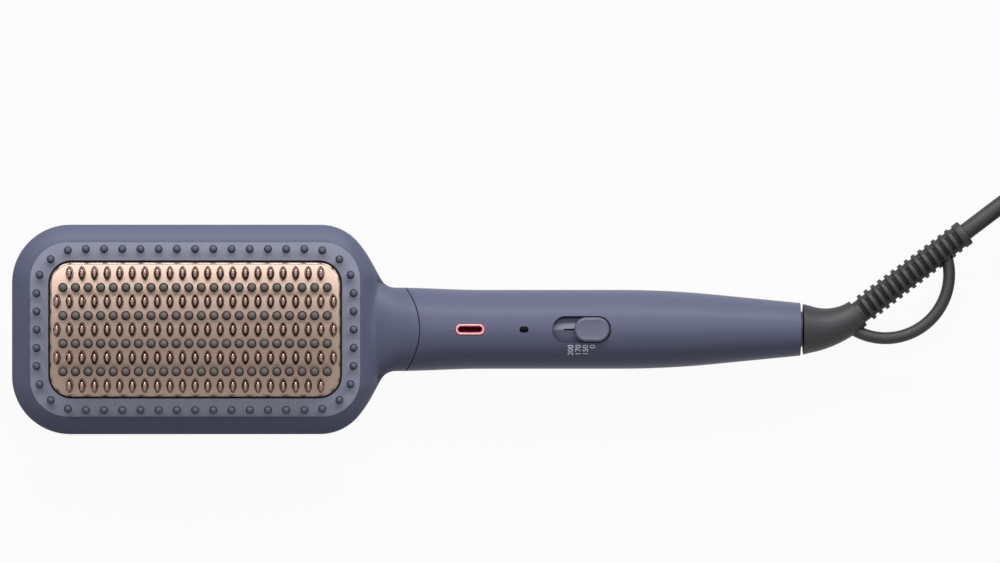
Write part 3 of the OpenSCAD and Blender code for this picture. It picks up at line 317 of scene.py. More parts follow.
def ball_pins(bm, spots, foot_z, top_z, stem_d, ball_d):
    """Ball-tipped pins: a stem that narrows a little and a ball at its tip."""
    ball_z = top_z - ball_d / 2
    pin = bmesh.new()
    bmesh.ops.create_uvsphere(pin, u_segments=14, v_segments=9, radius=ball_d / 2,
                              matrix=Matrix.Translation((0, 0, ball_z)))
    bmesh.ops.create_cone(pin, cap_ends=True, segments=10, radius1=stem_d / 2,
                          radius2=stem_d / 2 * STEM_TAPER, depth=ball_z - foot_z,
                          matrix=Matrix.Translation((0, 0, (ball_z + foot_z) / 2)))
    planted(bm, pin, spots)


def loft_shell(stations, rows, place):
    """A shell skin: a grid whose columns are stations and whose rows go round from side to side.
    The outermost rows stand for the lip and the edge at the parting plane."""
    bm = bmesh.new()
    columns = len(stations) - 1
    bmesh.ops.create_grid(bm, x_segments=columns, y_segments=rows, size=1.0)
    for v in bm.verts:
        station = stations[round((v.co.x + 1) / 2 * columns)]
        row = round((v.co.y + 1) / 2 * rows)
        side = {0: -2, 1: -1, rows - 1: 1, rows: 2}.get(row, -math.cos(math.pi * (row - 1) / (rows - 2)))
        v.co = place(station, side)
    bmesh.ops.remove_doubles(bm, verts=bm.verts, dist=0.001)
    return bm


# Finishes

def linear(*srgb):
    """A colour as the eye reads it, 0 to 255, as the renderer's own values."""
    return tuple(((c / 255 + 0.055) / 1.055) ** 2.4 if c > 10 else c / 3294 for c in srgb)


GRAIN_DEPTH, GLOSS_VARIES = 0.1, 0.12


def fed(node, sockets):
    """Gives each input of a node its value, or a link from the output given for it."""
    for name, value in sockets.items():
        if isinstance(value, bpy.types.NodeSocket):
            node.id_data.links.new(value, node.inputs[name])
        else:
            node.inputs[name].default_value = value
    return node


def added(tree, kind, sockets, **settings):
    """A new shader node with its settings and its inputs."""
    node = tree.nodes.new("ShaderNode" + kind)
    for name, value in settings.items():
        setattr(node, name, value)
    return fed(node, sockets)


def noise(tree, coords, size, detail=2.0):
    cloud = added(tree, "TexNoise", {"Scale": 1 / (size * MM), "Detail": detail, "Vector": coords})
    return cloud.outputs["Fac"]


def painted_shade_below(tree, coords, colour, flank, low_z, high_z):
    """Runs a colour into a darker one below high_z: painted shade on the flank of a ball, which leaves its
    tip lighter as if lit from above.
    """
    height = added(tree, "SeparateXYZ", {0: coords}).outputs["Z"]
    share = added(tree, "MapRange", {"Value": height, "From Min": low_z * MM, "From Max": high_z * MM},
                  interpolation_type="SMOOTHSTEP").outputs["Result"]
    both = added(tree, "Mix", {"A": (*flank, 1), "B": colour, "Factor": share}, data_type="RGBA")
    return both.outputs["Result"]


def finish(name, colour, rough, metal=0.0, grain_mm=0.35, grain=0.05, mottle=0.05, mottle_mm=9.0,
           coat=0.0, coat_rough=0.15, coat_ior=1.5, specular=0.5, flank=None):
    """A moulded or coated surface: slight mottling, uneven gloss and a fine grain. Flank is painted shade:
    a darker colour with the heights between which it gives way to the main one."""
    mat = bpy.data.materials.new(name)
    mat.use_nodes = True
    tree = mat.node_tree
    coords = added(tree, "TexCoord", {}).outputs["Object"]
    base = added(tree, "Mix", {"A": (*[c * (1 - mottle) for c in colour], 1),
                               "B": (*[min(1, c * (1 + mottle)) for c in colour], 1),
                               "Factor": noise(tree, coords, mottle_mm)}, data_type="RGBA").outputs["Result"]
    # Painted shade: the colour runs darker down the flank of a ball.
    if flank:
        base = painted_shade_below(tree, coords, base, *flank)
    gloss = added(tree, "MapRange", {"Value": noise(tree, coords, mottle_mm / 4),
                                     "To Min": rough * (1 - GLOSS_VARIES),
                                     "To Max": rough * (1 + GLOSS_VARIES)})
    bump = added(tree, "Bump", {"Strength": grain, "Distance": GRAIN_DEPTH * MM,
                                "Height": noise(tree, coords, grain_mm, 3.0)})
    fed(tree.nodes["Principled BSDF"],
        {"Base Color": base, "Roughness": gloss.outputs["Result"], "Normal": bump.outputs["Normal"],
         "Metallic": metal, "Specular IOR Level": specular, "Coat Weight": coat,
         "Coat Roughness": coat_rough, "Coat IOR": coat_ior})
    return mat


def tone(name, description, *srgb):
    """A colour that the user may change."""
    return FloatVectorProperty(name=name, description=description, subtype="COLOR", default=linear(*srgb),
                               min=0, max=1)


def size_mm(name, description, default, low, high):
    """A length in millimetres that the user may change."""
    return FloatProperty(name=name, description=description + ", in millimetres", default=default,
                         min=low, max=high)


class BrushColours(bpy.types.PropertyGroup):
    """Colours of the brush's main finishes."""
    shell: tone("Shell", "Satin plastic of head and handle", 90, 93, 115)
    panel: tone("Panel", "Grained panel round the hot plate", 130, 133, 152)
    plate: tone("Plate", "Coating of the heating plate", 148, 126, 114)
    # The fins share the plate's coating; this darker colour is painted shade.
    fins: tone("Fins", "Coating of the fins on the plate", 130, 94, 80)
    cool_pin: tone("Cool pins", "Ball-tipped pins between the fins", 102, 95, 90)
    ring_pin: tone("Ring pins", "Ball-tipped pins round the plate", 84, 88, 106)
    outlet: tone("Outlet rim", "Rim of the ion outlet", 255, 168, 172)
    cord: tone("Cord", "Cord and strain relief", 38, 37, 41)


class BrushSizes(bpy.types.PropertyGroup):
    """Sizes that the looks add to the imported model."""
    shell_rows: IntProperty(name="Shell rows", description="Faces from side to side on a shell",
                            default=96, min=24, max=160)
    edge_round: size_mm("Edge rounding", "Rounding at the shells' seam", 0.25, 0.05, 0.6)
    digit_h: size_mm("Digit height", "Height of the switch numbers", 2.0, 1.5, 3.0)
    view_w: size_mm("View width", "Width of the picture at the parting plane", 370.0, 200, 900)
    view_h: size_mm("Camera height", "Height of the camera", 4000.0, 800, 8000)


def colours():
    return bpy.context.scene.brush_colours


def sizes():
    return bpy.context.scene.brush_sizes


def coat_nodes(names, mat):
    """Gives CAD nodes that stay in view their finish."""
    for name in names:
        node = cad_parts[name]
        if not node.material_slots:
            node.data.materials.append(mat)
        for place in node.material_slots:
            place.material = mat


# Stage

VIEW_X, VIEW_Y = 112.7, 17.7
VIEW_TILT = math.radians(1.4)
SENSOR_W = 36
CLIP_END = 40
WORLD_TINT, WORLD_STRENGTH = (0.82, 0.86, 1.0, 1), 0.12
FLOOR_HALF, FLOOR_DROP, FLOOR_SEEN_WHITE = 12.0, 0.5, 0.95
FLOOR_TINT = (0.44, 0.44, 0.44, 1)
# Name, place and size in metres, and power in watts
LAMPS = (("key", (0.10, 0.58, 0.46), (1.1, 0.16), 6.6),
         ("top", (0.10, 0.38, 1.35), (1.4, 0.35), 6.8),
         ("low", (0.10, 1.35, 0.40), (1.6, 0.3), 1.8))
LAMP_TARGET = Vector((VIEW_X * MM, VIEW_Y * MM, 0.02))


def area_light(name, place, size, power):
    """A soft lamp that looks at the middle of the view."""
    data = bpy.data.lights.new(name, "AREA")
    data.shape = "RECTANGLE"
    data.size, data.size_y = size
    data.energy = power
    lamp = placed(name, data)
    lamp.location = place
    lamp.rotation_euler = (LAMP_TARGET - Vector(place)).to_track_quat("-Z", "Y").to_euler()


def seen_white(tree, shader, share):
    """Mixes a share of plain white into a shader for camera, glossy and transmission rays."""
    path = tree.nodes.new("ShaderNodeLightPath")
    seen = path.outputs["Is Camera Ray"]
    for ray in ("Is Glossy Ray", "Is Transmission Ray"):
        seen = added(tree, "Math", {0: seen, 1: path.outputs[ray]}, operation="MAXIMUM").outputs[0]
    scaled = added(tree, "Math", {0: seen, 1: share}, operation="MULTIPLY").outputs[0]
    kind = "Background" if shader.node.type == "BACKGROUND" else "Emission"
    white = added(tree, kind, {"Color": (1, 1, 1, 1)})
    return added(tree, "MixShader", {0: scaled, 1: shader, 2: white.outputs[0]}).outputs[0]


class BRUSH_OT_stage(bpy.types.Operator):
    """Sets up camera, floor and soft studio light"""
    bl_idname = "brush.stage"
    bl_label = "Stage"

    def execute(self, context):
        context.scene.view_settings.view_transform = "Standard"
        self.world(context.scene)
        self.floor()
        for lamp in LAMPS:
            area_light(*lamp)
        self.camera(context.scene)
        return {"FINISHED"}

    def world(self, scene):
        """A faint cool light from all round, seen as white."""
        world = scene.world = bpy.data.worlds.new("studio")
        world.use_nodes = True
        tree = world.node_tree
        soft = fed(tree.nodes["Background"], {"Color": WORLD_TINT, "Strength": WORLD_STRENGTH})
        fed(tree.nodes["World Output"], {"Surface": seen_white(tree, soft.outputs[0], 1.0)})

    def floor(self):
        """A paper floor just under the brush, seen as almost white, which keeps the shadow."""
        bm = bmesh.new()
        bmesh.ops.create_grid(bm, x_segments=1, y_segments=1, size=FLOOR_HALF)
        bmesh.ops.translate(bm, vec=(0, 0, -FLOOR_DROP * MM), verts=bm.verts)
        mesh = bpy.data.meshes.new("floor")
        bm.to_mesh(mesh)
        bm.free()
        paper = bpy.data.materials.new("floor_paper")
        paper.use_nodes = True
        tree = paper.node_tree
        bsdf = fed(tree.nodes["Principled BSDF"], {"Base Color": FLOOR_TINT, "Roughness": 0.9})
        fed(tree.nodes["Material Output"], {"Surface": seen_white(tree, bsdf.outputs[0], FLOOR_SEEN_WHITE)})
        mesh.materials.append(paper)
        placed("floor", mesh)

    def camera(self, scene):
        """A far camera over the brush, tilted a little as the photograph's is."""
        height = sizes().view_h * MM
        lens = bpy.data.cameras.new("camera")
        lens.sensor_width = SENSOR_W
        lens.lens = SENSOR_W * height / (sizes().view_w * MM)
        lens.clip_end = CLIP_END
        eye = scene.camera = placed("camera", lens)
        eye.location = (VIEW_X * MM - math.sin(VIEW_TILT) * height, VIEW_Y * MM,
                        math.cos(VIEW_TILT) * height + AXIS_Z * MM)
        eye.rotation_euler = (0, -VIEW_TILT, 0)


# Cord

BOOT_GAP = 0.7
BOOT_X = TAIL_X + BOOT_GAP
BOOT_ANGLE = math.radians(37.1)
BOOT_BEND_R, BOOT_FOOT_L = 29.2, 3.2
BOOT_NECK_R, BOOT_R, BOOT_TAPER = 5.55, 9.55, 1.5
BEND_CX = BOOT_X + BOOT_FOOT_L
RIBS, RIB_PITCH, RIB_W, RIB_START, RIB_END = 14, 3.1, 1.6, 1.8, 1.6
SLOT_R, WEB_TURN, RIB_SHIFT, RIB_SIDE, FACE_BACK = 3.6, 8, 1.4, 0.1, 0.4
SLEEVE_R, RIB_R, RIB_OVER, COLLAR_R, COLLAR_L = 4.3, 5.4, 0.1, 4.95, 3.0
SLEEVE_L = RIB_START + RIBS * RIB_PITCH + COLLAR_L + RIB_END
SLEEVE_START = Vector((BEND_CX + BOOT_BEND_R * math.sin(BOOT_ANGLE),
                       BOOT_BEND_R * (1 - math.cos(BOOT_ANGLE)), AXIS_Z))
SLEEVE_WAY = Vector((math.cos(BOOT_ANGLE), math.sin(BOOT_ANGLE), 0))
SLEEVE_PLACE = (Matrix.Translation(SLEEVE_START) @ Matrix.Rotation(BOOT_ANGLE, 4, "Z")
                @ Matrix.Rotation(math.pi / 2, 4, "Y"))
CORD_EXIT = SLEEVE_START + SLEEVE_L * SLEEVE_WAY
CORD_D, CORD_ROOT, CORD_LEAD = 6.4, 3, 5
COIL_X, COIL_Y, COIL_TURNS, COIL_LAYERS, COIL_PITCH, COIL_INNER = 352, 21, 7, 4, 6.9, 31.2
COIL_REST, COIL_STEPS, CLIMB_TURNS, ENTRY_L = 0.85, 24, 0.5, 3
LAYER_TURNS = COIL_TURNS / COIL_LAYERS
COIL_OUTER = COIL_INNER + LAYER_TURNS * COIL_PITCH
COIL_Z = COIL_REST + CORD_D / 2
COIL_TOP = COIL_Z + (COIL_LAYERS - 1) * COIL_PITCH
ENTRY_Y = COIL_Y + COIL_OUTER
TIE_ANGLE, TIE_T, TIE_W, TIE_SLACK = math.radians(20), 0.8, 10.0, 0.4
PLUG_X, PLUG_Y, PLUG_Z, PLUG_ENTRY = 410, 20, 6.85, (6, -2)
# Points of the route before and after the coil, as the CAD cord has them
LEAD = [(302, 48.6, 13.7), (310, 53.8, 11.6), (318, 58, 8.8), (326, 61.2, 6.3), (334, 63.4, 4.7)]
TAIL = [(371.8, 62.9, 24), (384.2, 59.2, 20.5), (394.9, 53.2, 15.5), (403.1, 45.2, 10.8), (408.2, 36, 7.9)]
# Place along the plug, width and thickness
PLUG_SECTIONS = [(-34, 24.6, 12.2), (-33.5, 25.6, 13.2), (-32.5, 26, 13.6), (-20, 26, 13.6),
                 (-14, 25.4, 13.4), (-8, 22.6, 13.0), (-3, 18.6, 12.7), (0, 15.4, 12.4), (1.2, 12.4, 11.4)]
PLUG_ROUND = 0.92
RELIEF_START, RELIEF_L, RELIEF_RIBS, RELIEF_HUB = 1.2, 19.0, 5, 0.86
RELIEF_R, RELIEF_LAST_R, RELIEF_END_R = 5.3, 4.5, 4.35
RELIEF_RIB_SHARE, RELIEF_RIB_EDGE = 0.62, 0.35
# Radius at which revolved profiles start and end
AXIS_R = 0.01


def coil_point(s):
    """A point of the coil after s turns: four flat layers, wound in and out by turns."""
    layer = min(int(s / LAYER_TURNS), COIL_LAYERS - 1) if s < COIL_TURNS else COIL_LAYERS
    drift = (s - layer * LAYER_TURNS) * COIL_PITCH
    r = COIL_OUTER - drift if layer % 2 == 0 else COIL_INNER + drift
    climb = sum(ease((s - b * LAYER_TURNS) / CLIMB_TURNS + 0.5) for b in range(1, COIL_LAYERS))
    a = math.pi / 2 - TAU * s
    return Vector((COIL_X + r * math.cos(a), COIL_Y + r * math.sin(a), COIL_Z + COIL_PITCH * climb))


def cord_route():
    """The points that the cord follows from inside the strain relief to inside the plug."""
    points = [CORD_EXIT - CORD_ROOT * SLEEVE_WAY, CORD_EXIT, CORD_EXIT + CORD_LEAD * SLEEVE_WAY]
    points += [Vector(p) for p in LEAD]
    points += [Vector((COIL_X - back, ENTRY_Y, COIL_Z)) for back in (CORD_D + ENTRY_L, CORD_D / 2)]
    points += [coil_point(i / COIL_STEPS) for i in range(COIL_TURNS * COIL_STEPS + 1)]
    points += [Vector((COIL_X + on, ENTRY_Y, COIL_TOP)) for on in (CORD_D / 2, CORD_D + ENTRY_L)]
    points += [Vector(p) for p in TAIL]
    points += [Vector((PLUG_X, PLUG_Y + back, PLUG_Z)) for back in PLUG_ENTRY]
    return points


def rubber(name, colour, rough=0.55):
    return finish(name, colour, rough, grain_mm=0.25, grain=0.12, mottle=0.07, specular=0.45)


def revolved(bm, profile, place, steps=48):
    """Turns a profile of (radius, distance along the axis) about the axis that place's Z gives."""
    verts = [bm.verts.new((r, 0, z)) for r, z in profile]
    edges = [bm.edges.new(pair) for pair in zip(verts, verts[1:])]
    bmesh.ops.spin(bm, geom=verts + edges, cent=(0, 0, 0), axis=(0, 0, 1), angle=TAU, steps=steps,
                   use_merge=True)
    bmesh.ops.remove_doubles(bm, verts=bm.verts, dist=0.001)
    bmesh.ops.transform(bm, matrix=place, verts=bm.verts)


class BRUSH_OT_cord(bpy.types.Operator):
    """Lays the mains cord, its coil and its plug"""
    bl_idname = "brush.cord"
    bl_label = "Cord and plug"

    def execute(self, context):
        cord = self.lead(rubber("cord_rubber", colours().cord))
        plug = self.plug(finish("plug_plastic", linear(46, 46, 50), 0.5, grain=0.1, grain_mm=0.3))
        tie = self.tie(finish("tie_strap", linear(40, 40, 44), 0.8, grain_mm=0.5, grain=0.4, mottle=0.2,
                              mottle_mm=1.0))
        coat_nodes(["plug_pins"], finish("pin_brass_plated", linear(205, 206, 210), 0.3, metal=1, grain=0))
        coat_nodes(["pin_sleeves"], finish("pin_sleeve", linear(48, 48, 52), 0.45))
        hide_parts("power_cord", "cord_coil", "cord_tail")
        return {"FINISHED"}

    def lead(self, mat):
        """The cord itself: a round curve along its route."""
        curve = bpy.data.curves.new("mains_cord", "CURVE")
        curve.dimensions = "3D"
        curve.bevel_depth = CORD_D / 2 * MM
        curve.bevel_resolution = 6
        curve.resolution_u = 3
        curve.use_fill_caps = True
        route = cord_route()
        spline = curve.splines.new("BEZIER")
        spline.bezier_points.add(len(route) - 1)
        for point, spot in zip(spline.bezier_points, route):
            point.co = spot * MM
            point.handle_left_type = point.handle_right_type = "AUTO"
        curve.materials.append(mat)
        cord = placed("mains_cord", curve)
        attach(cord, "swivel")
        return cord

    def plug(self, mat):
        """The plug's flat body with its ribbed relief, turned to lie along Y."""
        rings = [(w / 2 - t / 2 * PLUG_ROUND, t / 2 * (1 - PLUG_ROUND), t / 2 * PLUG_ROUND, y)
                 for y, w, t in PLUG_SECTIONS]
        bm = loft_rounds(bmesh.new(), rings, (0, 0))
        profile = [(AXIS_R, RELIEF_START)]
        pitch = RELIEF_L / RELIEF_RIBS
        for i in range(RELIEF_RIBS):
            r = mix(RELIEF_R, RELIEF_LAST_R, i / (RELIEF_RIBS - 1))
            start = RELIEF_START + i * pitch
            end = start + pitch * RELIEF_RIB_SHARE
            profile += [(r * RELIEF_HUB, start), (r, start + RELIEF_RIB_EDGE), (r, end),
                        (r * RELIEF_HUB, end + RELIEF_RIB_EDGE)]
        last = RELIEF_START + RELIEF_L
        profile += [(RELIEF_END_R * RELIEF_HUB, last), (AXIS_R, last)]
        relief = bmesh.new()
        revolved(relief, profile, Matrix.Identity(4), 32)
        planted(bm, relief)
        turn = Matrix.Translation((PLUG_X, 0, PLUG_Z)) @ Matrix.Rotation(-math.pi / 2, 4, "X")
        bmesh.ops.transform(bm, matrix=turn, verts=bm.verts)
        return finished("plug", bm, mat, "swivel", replaces=["plug_body"])

    def tie(self, mat):
        """A strap drawn round the turns where they cross its plane."""
        crossings = [coil_point(turn + (math.pi / 2 - TIE_ANGLE) / TAU) for turn in range(COIL_TURNS)]
        hubs = [Vector((math.hypot(p.x - COIL_X, p.y - COIL_Y), p.z)) for p in crossings]
        inner = CORD_D / 2 + TIE_SLACK
        outer = inner + TIE_T

        def place(level, spot):
            radius, across = level
            hub = max(hubs, key=lambda h: h.dot(spot.xy))
            reach, height = hub + radius * spot.xy
            return Vector((reach, across, max(height, outer - radius)))
        levels = [(inner, -TIE_W / 2), (inner, TIE_W / 2), (outer, TIE_W / 2), (outer, -TIE_W / 2)]
        bm = swept(bmesh.new(), 96, levels, place, close=True)
        turn = Matrix.Translation((COIL_X, COIL_Y, 0)) @ Matrix.Rotation(TIE_ANGLE, 4, "Z")
        bmesh.ops.transform(bm, matrix=turn, verts=bm.verts)
        return finished("coil_tie", bm, mat, "swivel", replaces=["cord_tie"])


# Shells

TIP_STEPS, HEAD_STEPS, SHOULDER_STEPS, HOLLOW_STEPS, NECK_STEPS = 18, 34, 18, 10, 12
GRIP_STEPS, BACK_STEPS = 150, 60
LIP_H, GROOVE, SKIN_T = 0.25, 0.15, WALL * 0.9
TONGUE_L, TONGUE_DROP, TONGUE_STEP = 3.0, 2.2, 0.01
SEAM_TIPS = (1, 0.7, 0.4, 0.15, 0)
SEAM_LEAD = 1.6
RECESS_FLAT = 0.01
# Heights between which the openings are cut
HEAD_CUT = (AXIS_Z + 1, HEAD_T + 5)
GRIP_CUT = (AXIS_Z + 5, GRIP_TOP + 3)


def stretch(start, end, count):
    """Stations after start up to end, evenly apart."""
    return [mix(start, end, i / count) for i in range(1, count + 1)]


def head_stations(end):
    """Stations from the edge and lip at the tip to the end of the hollow."""
    corner = [-CORNER_X - CORNER_R * math.cos(math.pi / 2 * i / TIP_STEPS) for i in range(TIP_STEPS + 1)]
    return ([-HEAD_X - 2, -HEAD_X - 1] + corner + stretch(-CORNER_X, CORNER_X, HEAD_STEPS)
            + stretch(CORNER_X, FLANK_END.x, SHOULDER_STEPS) + stretch(FLANK_END.x, HOLLOW_CX, HOLLOW_STEPS)
            + stretch(HOLLOW_CX, end, NECK_STEPS))


def skin(s, side, height, sign):
    """A point of a shell's skin at station s: side runs from -1 to 1 across the outline. A side of
    1 or a station 1 past the tip is the lip, and 2 the edge, drawn in to leave a fine groove."""
    x, across = min(max(s, -HEAD_X), TAIL_X), min(max(side, -1), 1)
    y = half_width(x) * across
    if abs(side) > 1.5 or s < -HEAD_X - 1.5:
        inward = Vector((outline_slope(x), -across) if abs(side) > 0.5 else (1, 0)).normalized() * GROOVE
        point = Vector((x + inward.x, y + inward.y, AXIS_Z))
    elif abs(side) > 0.9999 or s < -HEAD_X - 0.5:
        point = Vector((x, y, AXIS_Z + sign * LIP_H))
    else:
        point = Vector((x, y, AXIS_Z + sign * height(x, y)))
    return drawn_in(point, TAIL_R - TAIL_HOLE_R) if s > TAIL_X else point


def drawn_in(point, depth):
    """Moves a point of the round handle towards its axis."""
    share = 1 - depth / half_width(point.x)
    return Vector((point.x, point.y * share, AXIS_Z + (point.z - AXIS_Z) * share))


def slid(s, side, gap, share):
    """Bends a station towards the curved seam by a share of the seam's bow."""
    x = s
    for _ in range(5):
        y = half_width(max(x, -HEAD_X)) * min(max(side, -1), 1)
        x = s - (seam_at(0, gap) - seam_at(y, gap)) * min(max(share, 0), 1)
    return x


def hollowed(piece, cutters):
    """Gives a skin its wall, cuts the openings through it and applies both."""
    wall = piece.modifiers.new("wall", "SOLIDIFY")
    wall.thickness = SKIN_T * MM
    wall.offset = -1
    wall.use_rim = True
    for cutter in cutters:
        cut = piece.modifiers.new("cut", "BOOLEAN")
        cut.object = cutter
        cut.solver = "EXACT"
    graph = bpy.context.evaluated_depsgraph_get()
    mesh = bpy.data.meshes.new_from_object(piece.evaluated_get(graph))
    piece.modifiers.clear()
    old = piece.data
    piece.data = mesh
    bpy.data.meshes.remove(old)
    for cutter in cutters:
        bpy.data.objects.remove(cutter)
    shaded(mesh, 40)


def opening_cutter(shape, low, high, x=0):
    """A plain solid with a rounded plan, which an opening at x is cut with."""
    bm = loft_rounds(bmesh.new(), [(*shape, low), (*shape, high)], (x, 0), 16)
    bmesh.ops.recalc_face_normals(bm, faces=bm.faces)
    return placed("cutter", mesh_in_metres("cutter", bm))


def drop_at(distance, radius):
    """How far a rounded edge has fallen at a distance from the edge."""
    u = min(distance / radius, 1)
    return radius * (1 - math.sqrt(1 - (1 - u) ** 2))


class BRUSH_OT_shells(bpy.types.Operator):
    """Builds the two front shells and the back shell"""
    bl_idname = "brush.shells"
    bl_label = "Shells"

    def execute(self, context):
        satin = finish("shell_satin", colours().shell, 0.42, grain=0.05, grain_mm=0.3, mottle=0.03,
                       specular=0.18)
        self.head(satin)
        self.handle(satin)
        self.back(satin)
        return {"FINISHED"}

    def head(self, mat):
        """The front shell of the head up to the seam, with a tongue that runs under the handle's."""
        edge, end = sizes().edge_round, seam_at(0, -SEAM_GAP / 2)

        def point_at(s, side):
            x = slid(s, side, -SEAM_GAP / 2, (s - HEAD_X + SEAM_LEAD) / (end - HEAD_X + SEAM_LEAD))
            point = skin(x, side, front_height, 1)
            if s > end:
                return drawn_in(point, TONGUE_DROP)
            point.z -= drop_at(end - s, edge) if abs(side) < 1 else 0
            return point

        stations = (head_stations(end - 2 * edge) + [end - edge * t for t in SEAM_TIPS]
                    + [end + TONGUE_STEP, end + TONGUE_L])
        head = finished("head_front", loft_shell(stations, sizes().shell_rows, point_at), mat,
                        replaces=["head_front_shell"], skin_only=True)
        opening = plan(FRAME_HIGH.x * 2 + FIT / 2, FRAME_HIGH.y * 2 + FIT / 2, FRAME_R + FIT / 4)
        hollowed(head, [opening_cutter(opening, *HEAD_CUT)])

    def handle(self, mat):
        """The front shell of the handle with its three openings."""
        edge, start = sizes().edge_round, seam_at(0, SEAM_GAP / 2)

        def point_at(s, side):
            x = slid(s, side, SEAM_GAP / 2, (SEAM_END - s) / (SEAM_END - start))
            point = skin(x, side, front_height, 1)
            point.z -= drop_at(s - start, edge) if abs(side) < 1 else 0
            return point

        stations = ([start + edge * t for t in reversed(SEAM_TIPS)]
                    + stretch(start + 2 * edge, TAIL_X, GRIP_STEPS) + [TAIL_X + 1])
        handle = finished("handle_front", loft_shell(stations, sizes().shell_rows, point_at), mat,
                          replaces=["handle_front_shell"], skin_only=True)
        holes = [(OUTLET_X, plan(OUTLET_L + FIT, OUTLET_W + FIT, OUTLET_W / 2)),
                 (LAMP_X, plan(LAMP_L + FIT, LAMP_W + FIT, LAMP_W / 2)),
                 (SWITCH_X, plan(RECESS_L, RECESS_W, RECESS_W / 2 - RECESS_FLAT))]
        hollowed(handle, [opening_cutter(shape, *GRIP_CUT, x) for x, shape in holes])

    def back(self, mat):
        """The back shell of head and handle, whose faces the mirrored skin has turned round."""
        neck_end = HOLLOW_CX + NECK_FADE
        stations = head_stations(neck_end) + stretch(neck_end, TAIL_X, BACK_STEPS) + [TAIL_X + 1]
        bm = loft_shell(stations, sizes().shell_rows, lambda s, side: skin(s, side, back_height, -1))
        bmesh.ops.reverse_faces(bm, faces=bm.faces)
        back = finished("back_case", bm, mat, replaces=["back_shell"], skin_only=True)
        hollowed(back, [])


# Plate, fins and pins

PLATE_L, PLATE_W, PLATE_R = PLATE_HIGH.x * 2, PLATE_HIGH.y * 2, 8.0
PLATE_PROUD, PLATE_T, CROWN, CROWN_FROM = 0.5, 4.0, 1.2, 0.6
PLATE_EDGE_Z = HEAD_T + PLATE_PROUD
PLATE_FOOT_Z = PLATE_EDGE_Z - PLATE_T
# How far the plate's corners are drawn in at each height of its rim
PLATE_RIM = [(0.4, PLATE_FOOT_Z), (0, PLATE_FOOT_Z + 0.4), (0, PLATE_EDGE_Z - 0.5),
             (0.12, PLATE_EDGE_Z - 0.2), (0.4, PLATE_EDGE_Z), (1.2, PLATE_EDGE_Z)]
CROWN_CUTS = range(-22, 23, 2)
CROWN_R = ((PLATE_W / 2) ** 2 + CROWN ** 2) / (2 * CROWN)
COLUMN, ROW = 4.63, 10.35
FIN_L, FIN_W, FIN_H, FIN_DOME_H, FIN_TAPER, FIN_LONG, FIN_POINT = 5.66, 2.95, 10.0, 1.9, 0.78, 0.85, 0.22
# Heights of a fin's foot over the plate, with the shares of its width and length there
FIN_FOOT = [(-0.6, 1.0, 1.0), (0.12, 1.0, 1.0), (0.3, 0.93, 0.96), (0.22, FIN_TAPER + 0.02, 0.89),
            (0.5, FIN_TAPER, 0.87)]
FIN_TIP_ANGLES = (0, 20, 40, 58, 74, 85)
FIN_END_INSET, FIN_SIDE_INSET, RING_INSET = 2.5, 4, 2.55
FIN_HALF = int((PLATE_L / 2 - FIN_END_INSET) / COLUMN)
FIN_ROWS = int((PLATE_W / 2 - FIN_SIDE_INSET) / ROW)
COOL_BALL_D, COOL_STEM_D, COOL_H, COOL_FOOT = 3.54, 2.2, 12.0, 0.9
RING_BALL_D, RING_STEM_D, RING_H, RING_FOOT = 3.07, 1.9, 10.0, 0.7
# Depths under a ball's top, as shares of its diameter, over which its painted shade gives way to the tip's
# colour
SHADE_FROM, SHADE_TO = 0.3, 0.08
RING_X, RING_Y, RING_CORNER, RING_PITCH = FRAME_HIGH.x - RING_INSET, FRAME_HIGH.y - RING_INSET, 15.2, 6.7
RING_CORNER_ANGLES = (22, 49, 76)
STRIP_W, STRIP_R, STRIP_T = 4.0, 0.4, 1.8
STRIP_ROWS = [(j + 0.5) * ROW for j in range(-FIN_ROWS, FIN_ROWS)]
COOL_SPOTS = [((i + 0.5) * COLUMN, y) for y in STRIP_ROWS for i in range(-FIN_HALF, FIN_HALF)]
ROW_HALF = int((RING_X - RING_CORNER) / RING_PITCH)
COLUMN_HALF = int((RING_Y - RING_CORNER) / RING_PITCH)
RING_SPOTS = [(i * RING_PITCH, side * RING_Y) for i in range(-ROW_HALF, ROW_HALF + 1) for side in (-1, 1)]
RING_SPOTS += [(side * RING_X, i * RING_PITCH)
               for i in range(-COLUMN_HALF, COLUMN_HALF + 1) for side in (-1, 1)]
RING_SPOTS += [(sx * (RING_X - RING_CORNER + RING_CORNER * math.cos(a)),
                sy * (RING_Y - RING_CORNER + RING_CORNER * math.sin(a)))
               for a in map(math.radians, RING_CORNER_ANGLES) for sx in (-1, 1) for sy in (-1, 1)]
# Gap round the plate, edge of the panel and seat of the ring pins under it
PLATE_GAP, PANEL_EDGE_OUT, PANEL_EDGE_IN, SEAT_INSET = 0.6, 0.1, 0.12, 0.9


def crown_z(y):
    """Height of the plate's crowned face at y."""
    return PLATE_EDGE_Z + CROWN - CROWN_R + math.sqrt(CROWN_R ** 2 - y * y)


def fin(y):
    """One fin for the row at y: a low foot with a fine groove inside it, a body and a long rounded tip."""
    foot, dome_z = crown_z(y), PLATE_EDGE_Z + FIN_H - FIN_DOME_H
    levels = [(foot + rise, wide, long) for rise, wide, long in FIN_FOOT]
    levels += [(dome_z + FIN_DOME_H * math.sin(a), FIN_TAPER * math.cos(a), FIN_LONG * math.cos(a))
               for a in map(math.radians, FIN_TIP_ANGLES)]

    def place(level, spot):
        z, wide, long = level
        narrowed = 1 - FIN_POINT * spot.y ** 2
        return Vector((FIN_W / 2 * wide * spot.x * narrowed, y + FIN_L / 2 * long * spot.y, z))
    return swept(bmesh.new(), 12, levels, place, capped=(False, True))


